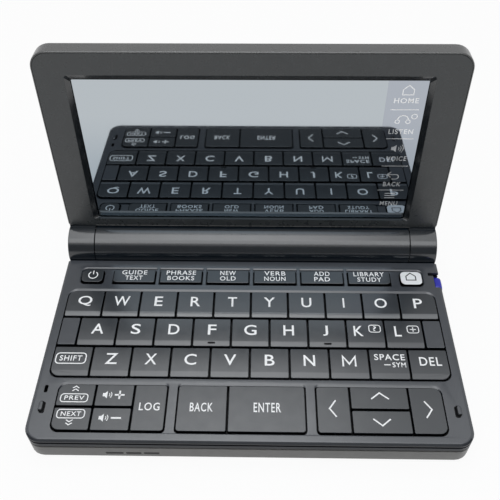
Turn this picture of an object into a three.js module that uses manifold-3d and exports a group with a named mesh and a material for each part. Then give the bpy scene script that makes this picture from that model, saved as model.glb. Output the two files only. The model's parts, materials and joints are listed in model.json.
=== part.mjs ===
// A pocket electronic dictionary with a hinged lid, a full letter keyboard and a touch screen.
// Lengths are in millimetres. +X runs to the right along the hinge, +Y from the front edge to
// the hinge, +Z up. The base group's own zero is the middle of the front edge at the deck's top
// face, and the lid group's own zero is the hinge axis.
import * as THREE from 'three';
import { mergeVertices } from 'three/addons/utils/BufferGeometryUtils.js';
import Module from 'manifold-3d';

const wasm = await Module();
wasm.setup();

// Body and hinge
const cornerRadius = 5.5; // of the base
const hingeRise = 0.43; // from the deck's top face up to the hinge axis
const barrelWall = 1.4;
const capLength = 10.6; // the lid's round end cap, at each end of the barrel
const sideReach = 0.35; // of the base and the lid past the end caps
const hingeGap = 0.3; // clearance round the barrel and beside the caps
const seatGap = 0.3; // between two parts where one rests on the other
const cutOverrun = 1; // how far a cutting shape runs past the face that it cuts

// Deck
const plateThickness = 1.8;
const skirtDepth = 3.8; // from the deck's top face down to the parting line
const wallThickness = 1.4;
const deckEdgeWidth = 0.8; // sloped rim along the top edge
const deckEdgeDrop = 0.5;
const grooveTop = 1.4; // shadow groove round the skirt
const grooveHeight = 0.8;
const grooveDepth = 0.6;
const cushionWidth = 2; // the two soft bumps that the lid closes on
const cushionLength = 4;
const cushionHeight = 0.5;
const cushionInset = 3.75; // from the deck's side
const cushionY = 12.35;
const lightSlotWidth = 0.9; // small slot at the left of the lower keys
const lightSlotLength = 2.6;
const lightSlotInset = 3.95;
const lightSlotY = 19.15;

// Keys
const keyRise = 0.45; // key tops above the deck's top face
const keyBodyDepth = 2.2; // key undersides below the deck's top face
const keyTravel = 0.6;
const keyGap = 0.65; // between keys side by side
const wellGap = 0.4; // between a key and the edge of its well
const wellRearBevel = 0.8; // sloped rear edge of each well
const wellBevelDrop = 0.4;
const plungerWidth = 3;
const plungerLength = 0.5;
const keyCornerRadius = 0.6;

const letterMargin = 3.95; // from the deck's side to the outermost letter key
const letterLength = 11.77; // front to rear
const letterRowGap = 1.1;
const letterBlockGap = 3.6; // from the lower block back to the third letter row
const letterSlope = 2.1; // sloped front of each letter key
const letterSlopeDrop = 0.4;
const letterCornerRadius = 3;
const homeBarWidth = 2.7; // raised bars on the F and J keys
const homeBarLength = 0.6;
const homeBarHeight = 0.1;
const homeBarStep = 0.5; // from the bar forward of the flat top

const controlFront = 3.85; // the lower key block
const controlLength = 16.85;
const controlRowGap = 0.85;
const controlCornerRadius = 2.6;
const controlInnerRadius = 1;
const controlMargin = 8.3;
const controlRib = 3.4; // from key edge to key edge across the two ribs of the deck

const functionLength = 6.3; // the row of narrow keys by the hinge
const functionKeyGap = 2.18;
const functionCornerRadius = 1.6;
const functionSideGap = 4.2; // from the row to the power key and to the home key
const roundKeyWidth = 8.3; // the power key and the home key
const roundKeyMargin = 7.2;
const ribLedge = 0.14; // from a key's hole to the rib beside it
const channelGap = 3.64; // from the letter keys back to the channel
const channelDepth = 0.6;
const channelFrontMargin = 0.9;
const channelRearMargin = 0.9;
const channelSideMargin = 0.7;
const channelCornerRadius = 2.2;
const rearStrip = 4.1; // of the deck behind the channel

// Below the keys
const domeSpare = 0.2; // of the dome's height that is left when its key is down
const domeTopRadius = 1.6;
const domeFootRadius = 2.3;
const matThickness = 0.5;
const matInset = 0.5; // from the skirt's inner face
const boardThickness = 0.9;
const boardHeadroom = 0.75; // between the stylus and the board
const floorThickness = 1.6;
const caseEdgeRadius = 0.8;
const caseRearReach = 5.6; // how far the case's rear face stays in front of the hinge axis
const bossRadius = 1.4;
const bossClearance = 0.35;
const frontBossInset = 7; // from the case's side
const rearBossInset = 8;
const processorSize = 13;
const processorShare = 0.27; // how far left of the middle it lies, of the half width
const processorHeight = 1.3;
const speakerRadius = 8.5;
const speakerHeight = 2.4;
const speakerSetback = 1.6; // from the front wall
const slitMargin = 26.75; // from the left side to the first of three sound slits in the front wall
const slitLengths = [5.6, 4.8, 4.8];
const slitWeb = 1.2;
const slitHeight = 0.7;
const slitRise = 1.4; // above the case's floor
const partingHeight = 0.6; // groove round the case's upper edge
const partingDepth = 0.5;
const footRadius = 3.5;
const footHeight = 0.5;
const footInset = 16.35; // from the case's side
const frontFootY = 12;
const rearFootInset = 4.35; // from the case's rear face

// Stylus, in the right wall under the row of narrow keys
const stylusWidth = 5.4;
const stylusThickness = 2.85;
const stylusLength = 78;
const stylusTipLength = 9;
const stylusTipWidth = 1.6;
const stylusInset = 7.5; // from the case's inner rear face
const stylusHeadLength = 3.05;
const stylusHeadWidth = 6.2;
const stylusHeadTop = 1.3; // below the deck's top face
const stylusStandout = 1.05; // of the head past the side wall
const stylusHeadRadius = 1.1;
const stylusGap = 0.4;
const guideWall = 1;
const guideHeight = 2.4;
const notchDepth = 4.4; // finger notch behind the stylus head
const notchLength = 1.2;

// Cells, end to end in the barrel
const cellRadius = 7.25;
const cellLength = 50.5;
const cellNubRadius = 2.75;
const cellNubLength = 1;
const cellGap = 0.3;
const cellClearance = 0.35; // round each cell
const partitionThickness = 1.2;
const endWallThickness = 1.6;
const pivotChamber = 2.5; // room in the barrel left of the cells
const hingeChamber = 16.2; // room in the barrel right of the cells
const coverHalfAngle = 76 * Math.PI / 180; // half of the arc that the battery cover spans
const gripRibs = 5;
const gripRibLength = 12;
const gripRibHeight = 0.35;
const gripRibWidth = 0.8;
const gripRibStep = 9 * Math.PI / 180;

// Hinge shaft and pivot
const shaftRadius = 3;
const shaftGap = 0.3;
const shaftEndGap = 1.6; // from the shaft's end to the cells' partition
const flangeGap = 1.1;
const flangeThickness = 1.2;
const bossWall = 1.9; // round the shaft, in the right end cap
const capWall = 3.3;
const capEndWall = 2;
const pivotWall = 1.2; // round the cable way through the left pivot
const pivotReach = 1.6; // of the left pivot past the barrel's end wall

// Lid
const lidAngle = 94 * Math.PI / 180; // from shut, as the lid stands at rest
const lidFrontReach = 0.2; // of the shut lid past the deck's front edge
const lidClosingGap = 0.65; // between the deck and the shut lid
const lidCornerRadius = 6.3;
const lidRearRadius = 1;
const lidFrontBevel = 0.25;
const lidLowerRadius = 1.5;
const lidRim = 0.5; // thin lip round the bezel
const lidWall = 1.2;
const lidBackWall = 1.9;
const lidNeck = 3; // how far the cap's shoulder runs past the lid's lower edge
const bezelThickness = 1.5;
const bezelWall = 1.2;
const bezelEdgeBevel = 0.2;
const skirtLength = 0.6; // of the window's edge behind the bezel's plate
const windowShift = 0.55; // of the window's middle, left of the lid's middle
const glassSideMargin = 12.95; // from the lid's side to the opening at the glass, without the shift
const glassUpperMargin = 10.8;
const windowSideFlare = 1.8; // of the opening, towards the bezel's face
const windowLowerFlare = -0.72;
const windowUpperFlare = 2.05;
const windowChamferDepth = 1.1;
const windowRadius = 1.2;
const displayMargin = 2.4; // how far the display runs past the opening
const displayLowerMargin = 0.35; // the same at the hinge side, where the display meets the bezel's wall
const displayThickness = 2.1;
const displayRadius = 1;

// Numbers of steps and facets
const cornerSteps = 6;
const barrelFacets = 64;
const boreFacets = 32;
const domeFacets = 8;

// Levels in the base, from the deck's top face at zero
const plateBottom = -plateThickness;
const keyBottom = -keyBodyDepth;
const domeHeight = keyTravel + domeSpare;
const domeTop = keyBottom - plungerLength - seatGap;
const matTop = domeTop - domeHeight;
const matBottom = matTop - matThickness;
const boardTop = matBottom - seatGap;
const boardBottom = boardTop - boardThickness;
const stylusTop = boardBottom - boardHeadroom;
const stylusBottom = stylusTop - stylusThickness;
const floorTop = stylusBottom - seatGap;
const caseBottom = floorTop - floorThickness;
const caseTop = -skirtDepth - seatGap;
const restLevel = caseBottom - footHeight;

// Along X: the cells and the hinge fill the barrel, and the barrel and its caps set the width
const barrelRadius = cellRadius + cellClearance + barrelWall;
const barrelBore = barrelRadius - barrelWall;
const sweepRadius = barrelRadius + hingeGap;
const bayLength = 2 * cellLength + 3 * cellGap;
const barrelLength =
  2 * endWallThickness + pivotChamber + 2 * partitionThickness + bayLength + hingeChamber;
const barrelHalf = barrelLength / 2;
const capInner = barrelHalf + hingeGap;
const capOuter = capInner + capLength;
const halfWidth = capOuter + sideReach;
const bodyWidth = 2 * halfWidth;
const innerHalf = halfWidth - wallThickness;
const bayLeft = -barrelHalf + endWallThickness + pivotChamber + partitionThickness;
const bayRight = bayLeft + bayLength;
const letterPitch = (bodyWidth - 2 * letterMargin + keyGap) / 10;
const roundKeyX = halfWidth - roundKeyMargin - roundKeyWidth / 2;
const functionSpan = 2 * (roundKeyX - roundKeyWidth / 2 - functionSideGap);
const frontBossX = halfWidth - frontBossInset;
const rearBossX = halfWidth - rearBossInset;
const slitStart = -halfWidth + slitMargin;
const slitSpan = slitLengths.reduce((sum, length) => sum + length + slitWeb, -slitWeb);

// Along Y: the rows of keys set the depth
const controlRear = controlFront + controlLength;
const letterFront = controlRear + letterBlockGap;
const letterRowPitch = letterLength + letterRowGap;
const letterRear = letterFront + 2 * letterRowPitch + letterLength;
const channelFront = letterRear + channelGap;
const functionFront = channelFront + channelFrontMargin;
const functionRear = functionFront + functionLength;
const channelRear = functionRear + channelRearMargin;
const hingeSetback = channelRear + rearStrip + sweepRadius; // from the front edge to the axis
const caseRear = hingeSetback - caseRearReach;
const innerRear = hingeSetback - sweepRadius - wallThickness;
const stylusY = innerRear - stylusInset;
const frontBossY = (controlRear + letterFront) / 2;
const rearBossY = (letterRear + channelFront) / 2;

// In the lid: the display and the walls before and behind it set the thickness
const glassDepth = bezelThickness + skirtLength + seatGap; // from the bezel's face to the glass
const lidThickness = glassDepth + displayThickness + seatGap + lidBackWall;
const lidLength = hingeSetback + lidFrontReach; // from the axis to the free edge
const lidFace = hingeRise - lidClosingGap; // the bezel's face in front of the hinge axis
const lidBack = lidFace - lidThickness;
const lidBottom = sweepRadius;
const lidFloor = lidBack + lidBackWall;
const glassHalfWidth = halfWidth - glassSideMargin;
const displayBottom = lidBottom + lidWall + seatGap + bezelWall + seatGap;
const glassBottom = displayBottom + displayLowerMargin;
const glassTop = lidLength - glassUpperMargin;

// Outlines

// The corners of a rounded rectangle in order, anticlockwise from its lower left corner.
function roundedRect(x0, x1, y0, y1, radii, steps = cornerSteps) {
  const [lowLeft, lowRight, highRight, highLeft] = Array.isArray(radii)
    ? radii
    : [radii, radii, radii, radii];
  const corners = [
    [x0, y0, 1, 1, lowLeft, Math.PI],
    [x1, y0, -1, 1, lowRight, 1.5 * Math.PI],
    [x1, y1, -1, -1, highRight, 0],
    [x0, y1, 1, -1, highLeft, 0.5 * Math.PI],
  ];
  const points = [];
  for (const [x, y, sideX, sideY, radius, start] of corners) {
    if (radius <= 0) {
      points.push([x, y]);
      continue;
    }
    for (let i = 0; i <= steps; i++) {
      const angle = start + (i / steps) * 0.5 * Math.PI;
      points.push([
        x + sideX * radius + radius * Math.cos(angle),
        y + sideY * radius + radius * Math.sin(angle),
      ]);
    }
  }
  return points;
}

const shapeOf = (points) => new THREE.Shape(points.map(([x, y]) => new THREE.Vector2(x, y)));

// The base's outline, drawn in by inset. Its rear corners stay square.
function baseOutline(inset, rear) {
  const radius = cornerRadius - inset;
  return roundedRect(-halfWidth + inset, halfWidth - inset, inset, rear - inset, [radius, radius, 0, 0]);
}

// The lid's outline in the lid's own plane, drawn in by inset.
function lidOutline(inset) {
  const upper = lidCornerRadius - inset;
  const lower = Math.max(lidLowerRadius - inset, lidFrontBevel);
  return roundedRect(-halfWidth + inset, halfWidth - inset, lidBottom + inset, lidLength - inset, [
    lower,
    lower,
    upper,
    upper,
  ]);
}

// Solids

function solidOf(geometry) {
  const bare = geometry.clone();
  bare.deleteAttribute('normal');
  bare.deleteAttribute('uv');
  const merged = mergeVertices(bare);
  const mesh = new wasm.Mesh({
    numProp: 3,
    vertProperties: merged.attributes.position.array,
    triVerts: new Uint32Array(merged.index.array),
  });
  return new wasm.Manifold(mesh);
}

const join = (first, ...rest) => rest.reduce((whole, solid) => whole.add(solid), first);
const cut = (first, ...rest) => rest.reduce((whole, solid) => whole.subtract(solid), first);

function box(x0, x1, y0, y1, z0, z1) {
  const geometry = new THREE.BoxGeometry(x1 - x0, y1 - y0, z1 - z0);
  geometry.translate((x0 + x1) / 2, (y0 + y1) / 2, (z0 + z1) / 2);
  return solidOf(geometry);
}

// An outline in the XY plane, standing from z0 to z1.
function prism(points, z0, z1) {
  const geometry = new THREE.ExtrudeGeometry(shapeOf(points), { depth: z1 - z0, bevelEnabled: false });
  geometry.translate(0, 0, z0);
  return solidOf(geometry);
}

// An outline in the YZ plane, running from x0 to x1.
function prismAlongX(points, x0, x1) {
  const geometry = new THREE.ExtrudeGeometry(shapeOf(points), { depth: x1 - x0, bevelEnabled: false });
  geometry.rotateX(Math.PI / 2);
  geometry.rotateZ(Math.PI / 2);
  geometry.translate(x0, 0, 0);
  return solidOf(geometry);
}

// An upright solid with round ends, longer along Y than along X.
function capsule(x, y, width, length, z0, z1) {
  const [halfX, halfY] = [width / 2, length / 2];
  return prism(roundedRect(x - halfX, x + halfX, y - halfY, y + halfY, halfX), z0, z1);
}

// A skin through rings of [x, y, z] points, with as many points in each and flat ends.
function loft(rings) {
  const count = rings[0].length;
  const positions = rings.flat(2);
  const index = [];
  for (let ring = 0; ring + 1 < rings.length; ring++) {
    for (let i = 0; i < count; i++) {
      const a = ring * count + i;
      const b = ring * count + ((i + 1) % count);
      index.push(a, b, b + count, a, b + count, a + count);
    }
  }
  const last = (rings.length - 1) * count;
  for (let i = 1; i + 1 < count; i++) {
    index.push(0, i + 1, i, last, last + i, last + i + 1);
  }
  const geometry = new THREE.BufferGeometry();
  geometry.setAttribute('position', new THREE.Float32BufferAttribute(positions, 3));
  geometry.setIndex(index);
  return solidOf(geometry);
}

// A slab whose outline changes with height: levels holds [z, outline] pairs, lowest first.
const slab = (levels) => loft(levels.map(([z, points]) => points.map(([x, y]) => [x, y, z])));

function cylinderAlongX(radius, x0, x1, y, z, facets) {
  const geometry = new THREE.CylinderGeometry(radius, radius, x1 - x0, facets);
  geometry.rotateZ(-Math.PI / 2);
  geometry.translate((x0 + x1) / 2, y, z);
  return solidOf(geometry);
}

function cylinderAlongZ(radius, x, y, z0, z1, topRadius = radius, facets = boreFacets) {
  const geometry = new THREE.CylinderGeometry(topRadius, radius, z1 - z0, facets);
  geometry.rotateX(Math.PI / 2);
  geometry.translate(x, y, (z0 + z1) / 2);
  return solidOf(geometry);
}

// Meshes

const finishes = {
  darkPlastic: { color: 0x4a4d50, roughness: 0.5, metalness: 0 },
  casePlastic: { color: 0x5a5b59, roughness: 0.55, metalness: 0 },
  keyPlastic: { color: 0x3c3f43, roughness: 0.5, metalness: 0 },
  whitePlastic: { color: 0xd9dcdf, roughness: 0.35, metalness: 0 },
  rubber: { color: 0x2b2c2e, roughness: 0.8, metalness: 0 },
  board: { color: 0x1f5a38, roughness: 0.6, metalness: 0 },
  glass: { color: 0x9aa0a5, roughness: 0.1, metalness: 0 },
  steel: { color: 0x9c9fa3, roughness: 0.35, metalness: 1 },
  cell: { color: 0xb9bcc0, roughness: 0.35, metalness: 0.6 },
  blue: { color: 0x2a2fb8, roughness: 0.35, metalness: 0 },
};

function meshOf(name, solid, finish) {
  const { vertProperties, triVerts } = solid.getMesh();
  const geometry = new THREE.BufferGeometry();
  geometry.setAttribute('position', new THREE.BufferAttribute(new Float32Array(vertProperties), 3));
  geometry.setIndex(new THREE.BufferAttribute(new Uint32Array(triVerts), 1));
  geometry.computeVertexNormals();
  const mesh = new THREE.Mesh(geometry, new THREE.MeshStandardMaterial(finishes[finish]));
  mesh.name = name;
  return mesh;
}

// Key layout: every key is a cell with its four edges and the outline of the well it lies in.

function well(x0, x1, y0, y1, radii) {
  return { x0, x1, y0, y1, radii };
}

const letterHalf = 5 * letterPitch - keyGap / 2;
const letterWell = well(-letterHalf, letterHalf, letterFront, letterRear, letterCornerRadius);

const rowStart = (row) => letterFront + row * letterRowPitch;

function letterRow(names, row) {
  const firstCentre = -0.5 * (names.length - 1) * letterPitch;
  return names.map((name, i) => {
    const centre = firstCentre + i * letterPitch;
    const half = (letterPitch - keyGap) / 2;
    const [x0, x1] = [centre - half, centre + half];
    const y0 = rowStart(row);
    return { name, x0, x1, y0, y1: y0 + letterLength, home: letterWell, sloped: true };
  });
}

const named = (letters) => [...letters].map((letter) => `key_${letter}`);
const letterKeys = [
  ...letterRow(named('qwertyuiop'), 2),
  ...letterRow(named('asdfghjkl'), 1),
  ...letterRow(['key_shift', ...named('zxcvbnm'), 'key_space', 'key_delete'], 0),
];

// The lower block holds three groups of columns, with a rib of the deck between two groups.
// A column's first value is its share of the width of all columns. A column with two names is
// split into a front key and a rear key.
const columnShares = [
  [
    [0.1053, ['key_heading_next', 'key_heading_previous']],
    [0.1069, ['key_volume_down', 'key_volume_up']],
    [0.0918, ['key_history']],
  ],
  [
    [0.1381, ['key_back']],
    [0.2119, ['key_enter']],
  ],
  [
    [0.093, ['key_cursor_left']],
    [0.16, ['key_cursor_down', 'key_cursor_up']],
    [0.093, ['key_cursor_right']],
  ],
];
const controlWidth = bodyWidth - 2 * controlMargin;
const columnsWidth = controlWidth - (columnShares.length - 1) * controlRib;
const groupWidth = (group) => group.reduce((sum, [share]) => sum + share * columnsWidth, 0);
const controlMiddle = (controlFront + controlRear) / 2;
const controlWells = [];
const controlKeys = [];
let groupStart = -controlWidth / 2;
for (const [place, group] of columnShares.entries()) {
  const groupEnd = groupStart + groupWidth(group);
  const left = place === 0 ? controlCornerRadius : controlInnerRadius;
  const right = place === columnShares.length - 1 ? controlCornerRadius : controlInnerRadius;
  const home = well(groupStart + keyGap / 2, groupEnd - keyGap / 2, controlFront, controlRear, [
    left,
    right,
    right,
    left,
  ]);
  controlWells.push(home);
  let start = groupStart;
  for (const [share, names] of group) {
    const width = share * columnsWidth;
    const x0 = start + keyGap / 2;
    const x1 = start + width - keyGap / 2;
    if (names.length === 1) {
      controlKeys.push({ name: names[0], x0, x1, y0: controlFront, y1: controlRear, home });
    } else {
      const frontEnd = controlMiddle - controlRowGap / 2;
      const rearStart = controlMiddle + controlRowGap / 2;
      controlKeys.push({ name: names[0], x0, x1, y0: controlFront, y1: frontEnd, home });
      controlKeys.push({ name: names[1], x0, x1, y0: rearStart, y1: controlRear, home });
    }
    start += width;
  }
  groupStart = groupEnd + controlRib;
}

// Each narrow key has a hole of its own in the floor of the channel.
const functionCount = 6;
const functionPitch = (functionSpan + functionKeyGap) / functionCount;
const functionWidth = functionPitch - functionKeyGap;
const functionCentre = (i) => (i - (functionCount - 1) / 2) * functionPitch;
const functionKeys = [];
for (let i = 0; i < functionCount; i++) {
  const left = i === 0 ? functionCornerRadius : keyCornerRadius;
  const right = i === functionCount - 1 ? functionCornerRadius : keyCornerRadius;
  const x0 = functionCentre(i) - functionWidth / 2;
  const x1 = functionCentre(i) + functionWidth / 2;
  const corners = [left, right, keyCornerRadius, keyCornerRadius];
  const home = well(x0, x1, functionFront, functionRear, corners);
  const name = `key_function_${i + 1}`;
  functionKeys.push({ name, x0, x1, y0: functionFront, y1: functionRear, home });
}
for (const [name, centre] of [['key_power', -roundKeyX], ['key_home', roundKeyX]]) {
  const x0 = centre - roundKeyWidth / 2;
  const x1 = centre + roundKeyWidth / 2;
  const home = well(x0, x1, functionFront, functionRear, functionCornerRadius);
  functionKeys.push({ name, x0, x1, y0: functionFront, y1: functionRear, home });
}
const channel = {
  x0: -roundKeyX - roundKeyWidth / 2 - channelSideMargin,
  x1: roundKeyX + roundKeyWidth / 2 + channelSideMargin,
  y0: channelFront,
  y1: channelRear,
};

const keys = [...letterKeys, ...controlKeys, ...functionKeys];

const grow = (radii, by) => (Array.isArray(radii) ? radii.map((radius) => radius + by) : radii + by);
const wellOutline = ({ x0, x1, y0, y1, radii }, gap) =>
  roundedRect(x0 - gap, x1 + gap, y0 - gap, y1 + gap, grow(radii, gap));

// One key: a flat or front-sloped cap, rounded where its well is, with a plunger under it.
function keySolid({ name, x0, x1, y0, y1, home, sloped }) {
  const flatFront = y0 + letterSlope;
  const slopeBottom = keyRise - letterSlopeDrop;
  const section = sloped
    ? [[y0, keyBottom], [y1, keyBottom], [y1, keyRise], [flatFront, keyRise], [y0, slopeBottom]]
    : [[y0, keyBottom], [y1, keyBottom], [y1, keyRise], [y0, keyRise]];
  const inWell = prism(wellOutline(home, 0), keyBottom - cutOverrun, keyRise + cutOverrun);
  const cap = prismAlongX(section, x0, x1).intersect(inWell);
  const x = (x0 + x1) / 2;
  const y = (y0 + y1) / 2;
  const half = plungerWidth / 2;
  const plungerEnd = keyBottom - plungerLength;
  const plunger = box(x - half, x + half, y - half, y + half, plungerEnd, keyBottom + seatGap);
  if (name !== 'key_f' && name !== 'key_j') {
    return join(cap, plunger);
  }
  const barHalf = homeBarWidth / 2;
  const barRear = flatFront - homeBarStep;
  const barTop = keyRise + homeBarHeight;
  const bar = box(x - barHalf, x + barHalf, barRear - homeBarLength, barRear, keyBottom / 2, barTop);
  return join(cap, plunger, bar);
}

// Base pieces

// The sloped rear edge of a well, from the well's own outline up to the deck's face.
function rearBevel(home) {
  const low = wellOutline(home, wellGap);
  const { x0, x1, y0, y1, radii } = home;
  const high = roundedRect(
    x0 - wellGap,
    x1 + wellGap,
    y0 - wellGap,
    y1 + wellGap + wellRearBevel,
    grow(radii, wellGap),
  );
  return slab([[-wellBevelDrop, low], [0, high], [cutOverrun, high]]);
}

function stylusNotch() {
  const outer = halfWidth + cutOverrun;
  const headX = halfWidth + stylusStandout - stylusHeadLength - stylusGap;
  const front = stylusY - stylusHeadWidth / 2 - stylusGap;
  const rear = stylusY + stylusHeadWidth / 2 + stylusGap;
  const notchX = halfWidth - notchDepth;
  const low = plateBottom - cutOverrun;
  const headSlot = box(headX, outer, front, rear, floorTop, cutOverrun);
  const fingerSlot = box(notchX, outer, rear - notchLength, rear + seatGap, low, cutOverrun);
  return join(headSlot, fingerSlot);
}

const sweptBarrel = cylinderAlongX(
  sweepRadius,
  -halfWidth - cutOverrun,
  halfWidth + cutOverrun,
  hingeSetback,
  hingeRise,
  barrelFacets,
);

function keyboardDeck() {
  const rear = hingeSetback;
  const shell = cut(
    slab([
      [-skirtDepth, baseOutline(0, rear)],
      [-deckEdgeDrop, baseOutline(0, rear)],
      [0, baseOutline(deckEdgeWidth, rear)],
    ]),
    prism(baseOutline(wallThickness, innerRear + wallThickness), -skirtDepth - cutOverrun, plateBottom),
    sweptBarrel,
  );
  const grooveBottom = -grooveTop - grooveHeight;
  const ring = cut(
    prism(baseOutline(-cutOverrun, rear), grooveBottom, -grooveTop),
    prism(baseOutline(grooveDepth, rear + cutOverrun), grooveBottom - cutOverrun, cutOverrun),
  );
  const below = plateBottom - cutOverrun;
  const ribHalf = functionKeyGap / 2 - wellGap - ribLedge;
  const ribs = [];
  for (let i = 0; i + 1 < functionCount; i++) {
    const x = (functionCentre(i) + functionCentre(i + 1)) / 2;
    const [y0, y1] = [channel.y0 - cutOverrun, channel.y1 + cutOverrun];
    ribs.push(box(x - ribHalf, x + ribHalf, y0, y1, -channelDepth - cutOverrun, 0));
  }
  const channelCut = cut(
    prism(
      roundedRect(channel.x0, channel.x1, channel.y0, channel.y1, channelCornerRadius),
      -channelDepth,
      cutOverrun,
    ),
    ...ribs,
  );
  const openings = [letterWell, ...controlWells];
  const holes = openings.flatMap((home) => [
    prism(wellOutline(home, wellGap), below, cutOverrun),
    rearBevel(home),
  ]);
  const keyHoles = functionKeys.map(({ home }) => prism(wellOutline(home, wellGap), below, cutOverrun));
  const lightSlotX = -halfWidth + lightSlotInset;
  const lightSlot = capsule(lightSlotX, lightSlotY, lightSlotWidth, lightSlotLength, below, cutOverrun);
  const cushionX = halfWidth - cushionInset;
  const cushions = [-cushionX, cushionX].map((x) =>
    capsule(x, cushionY, cushionWidth, cushionLength, -seatGap, cushionHeight),
  );
  const opened = cut(shell, ring, channelCut, ...holes, ...keyHoles, lightSlot, stylusNotch());
  return join(opened, ...cushions, ...blankKeys());
}

const between = (a, b, y0, y1, z0, z1) => box(Math.min(a, b), Math.max(a, b), y0, y1, z0, z1);

// The two fixed blanks at the ends of the middle letter row, held by a web at the well's wall.
function blankKeys() {
  const inner = 4.5 * letterPitch + keyGap / 2;
  const outer = letterHalf + wellGap + seatGap;
  const y0 = rowStart(1);
  const y1 = y0 + letterLength;
  return [-1, 1].map((side) =>
    join(
      between(side * inner, side * letterHalf, y0, y1, plateBottom, keyRise),
      between(side * inner, side * outer, y0, y1, plateBottom, plateBottom / 2),
    ),
  );
}

function bosses(radius, z0, z1) {
  const places = [
    [-frontBossX, frontBossY],
    [frontBossX, frontBossY],
    [-rearBossX, rearBossY],
    [rearBossX, rearBossY],
  ];
  return places.map(([x, y]) => cylinderAlongZ(radius, x, y, z0, z1));
}

// A ring about the hinge axis, between two radii and over the arc of the battery cover.
function coverArc(inner, outer, x0, x1, halfAngle) {
  const points = [];
  const steps = barrelFacets / 2;
  for (let i = 0; i <= steps; i++) {
    const angle = halfAngle * (2 * i / steps - 1);
    points.push([hingeSetback + outer * Math.cos(angle), hingeRise + outer * Math.sin(angle)]);
  }
  for (let i = steps; i >= 0; i--) {
    const angle = halfAngle * (2 * i / steps - 1);
    points.push([hingeSetback + inner * Math.cos(angle), hingeRise + inner * Math.sin(angle)]);
  }
  return prismAlongX(points, x0, x1);
}

const openArc = coverHalfAngle + seatGap / barrelRadius;

// A cylinder about the hinge axis.
const onAxis = (radius, x0, x1, facets) =>
  cylinderAlongX(radius, x0, x1, hingeSetback, hingeRise, facets);

function bottomCase() {
  const outer = (inset) => baseOutline(inset, caseRear);
  const rim = caseEdgeRadius * (1 - Math.SQRT1_2);
  const partingBottom = caseTop - partingHeight;
  const shell = cut(
    slab([
      [caseBottom, outer(caseEdgeRadius)],
      [caseBottom + rim, outer(rim)],
      [caseBottom + caseEdgeRadius, outer(0)],
      [caseTop, outer(0)],
    ]),
    cut(
      prism(outer(-cutOverrun), partingBottom, caseTop + cutOverrun),
      prism(baseOutline(partingDepth, caseRear + cutOverrun), partingBottom - cutOverrun, cutOverrun),
    ),
    prism(baseOutline(wallThickness, innerRear + wallThickness), floorTop, caseTop + cutOverrun),
  );
  const outside = halfWidth + cutOverrun;
  const capSweeps = [
    onAxis(sweepRadius, -outside, -barrelHalf, barrelFacets),
    onAxis(sweepRadius, barrelHalf, outside, barrelFacets),
  ];
  const tube = onAxis(barrelRadius, -barrelHalf, barrelHalf, barrelFacets);
  const chambers = [
    [-barrelHalf + endWallThickness, bayLeft - partitionThickness],
    [bayLeft, bayRight],
    [bayRight + partitionThickness, barrelHalf - endWallThickness],
  ].map(([x0, x1]) => onAxis(barrelBore, x0, x1, boreFacets));
  const shaftHoles = [
    [-barrelHalf - cutOverrun, -barrelHalf + endWallThickness + seatGap],
    [barrelHalf - endWallThickness - seatGap, barrelHalf + cutOverrun],
  ].map(([x0, x1]) => onAxis(shaftRadius + shaftGap, x0, x1, boreFacets));
  const reach = [barrelBore - cutOverrun, barrelRadius + cutOverrun];
  const opening = coverArc(...reach, bayLeft, bayRight, openArc);
  const slitMiddle = floorTop + slitRise;
  const slitEnds = [slitMiddle - slitHeight / 2, slitMiddle + slitHeight / 2];
  let slitLeft = slitStart;
  const slits = slitLengths.map((length) => {
    const slit = box(slitLeft, slitLeft + length, -cutOverrun, wallThickness + cutOverrun, ...slitEnds);
    slitLeft += length + slitWeb;
    return slit;
  });
  const guideFront = stylusY - stylusWidth / 2 - stylusGap;
  const guideRear = stylusY + stylusWidth / 2 + stylusGap;
  const guideLeft = halfWidth - stylusLength - guideWall;
  const guideLevels = [floorTop - seatGap, floorTop + guideHeight];
  const guides = [
    box(guideLeft, innerHalf + seatGap, guideFront - guideWall, guideFront, ...guideLevels),
    box(guideLeft, innerHalf + seatGap, guideRear, guideRear + guideWall, ...guideLevels),
    box(guideLeft, guideLeft + guideWall, guideFront - guideWall, guideRear + guideWall, ...guideLevels),
  ];
  const footX = halfWidth - footInset;
  const rearFootY = caseRear - rearFootInset;
  const feet = [[-footX, frontFootY], [footX, frontFootY], [-footX, rearFootY], [footX, rearFootY]].map(
    ([x, y]) => cylinderAlongZ(footRadius, x, y, restLevel, caseBottom + seatGap),
  );
  const standing = bosses(bossRadius, floorTop - seatGap, plateBottom - seatGap);
  const filled = join(cut(shell, ...capSweeps), tube);
  const hollow = cut(filled, ...chambers, ...shaftHoles, opening, ...slits, stylusNotch());
  return join(hollow, ...guides, ...standing, ...feet);
}

function keyMat() {
  const inset = wallThickness + matInset;
  const sheet = prism(baseOutline(inset, innerRear + wallThickness), matBottom, matTop);
  const levels = [matBottom + seatGap, domeTop];
  const domes = keys.map(({ x0, x1, y0, y1 }) => {
    const [x, y] = [(x0 + x1) / 2, (y0 + y1) / 2];
    return cylinderAlongZ(domeFootRadius, x, y, ...levels, domeTopRadius, domeFacets);
  });
  const overrun = [matBottom - cutOverrun, matTop + cutOverrun];
  return cut(join(sheet, ...domes), ...bosses(bossRadius + bossClearance, ...overrun), headRoom());
}

// Room for the stylus head in what lies under the deck.
function headRoom() {
  const headX = halfWidth + stylusStandout - stylusHeadLength - 2 * stylusGap;
  const reach = stylusHeadWidth / 2 + 2 * stylusGap;
  return box(headX, halfWidth, stylusY - reach, stylusY + reach, floorTop, 0);
}

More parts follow.
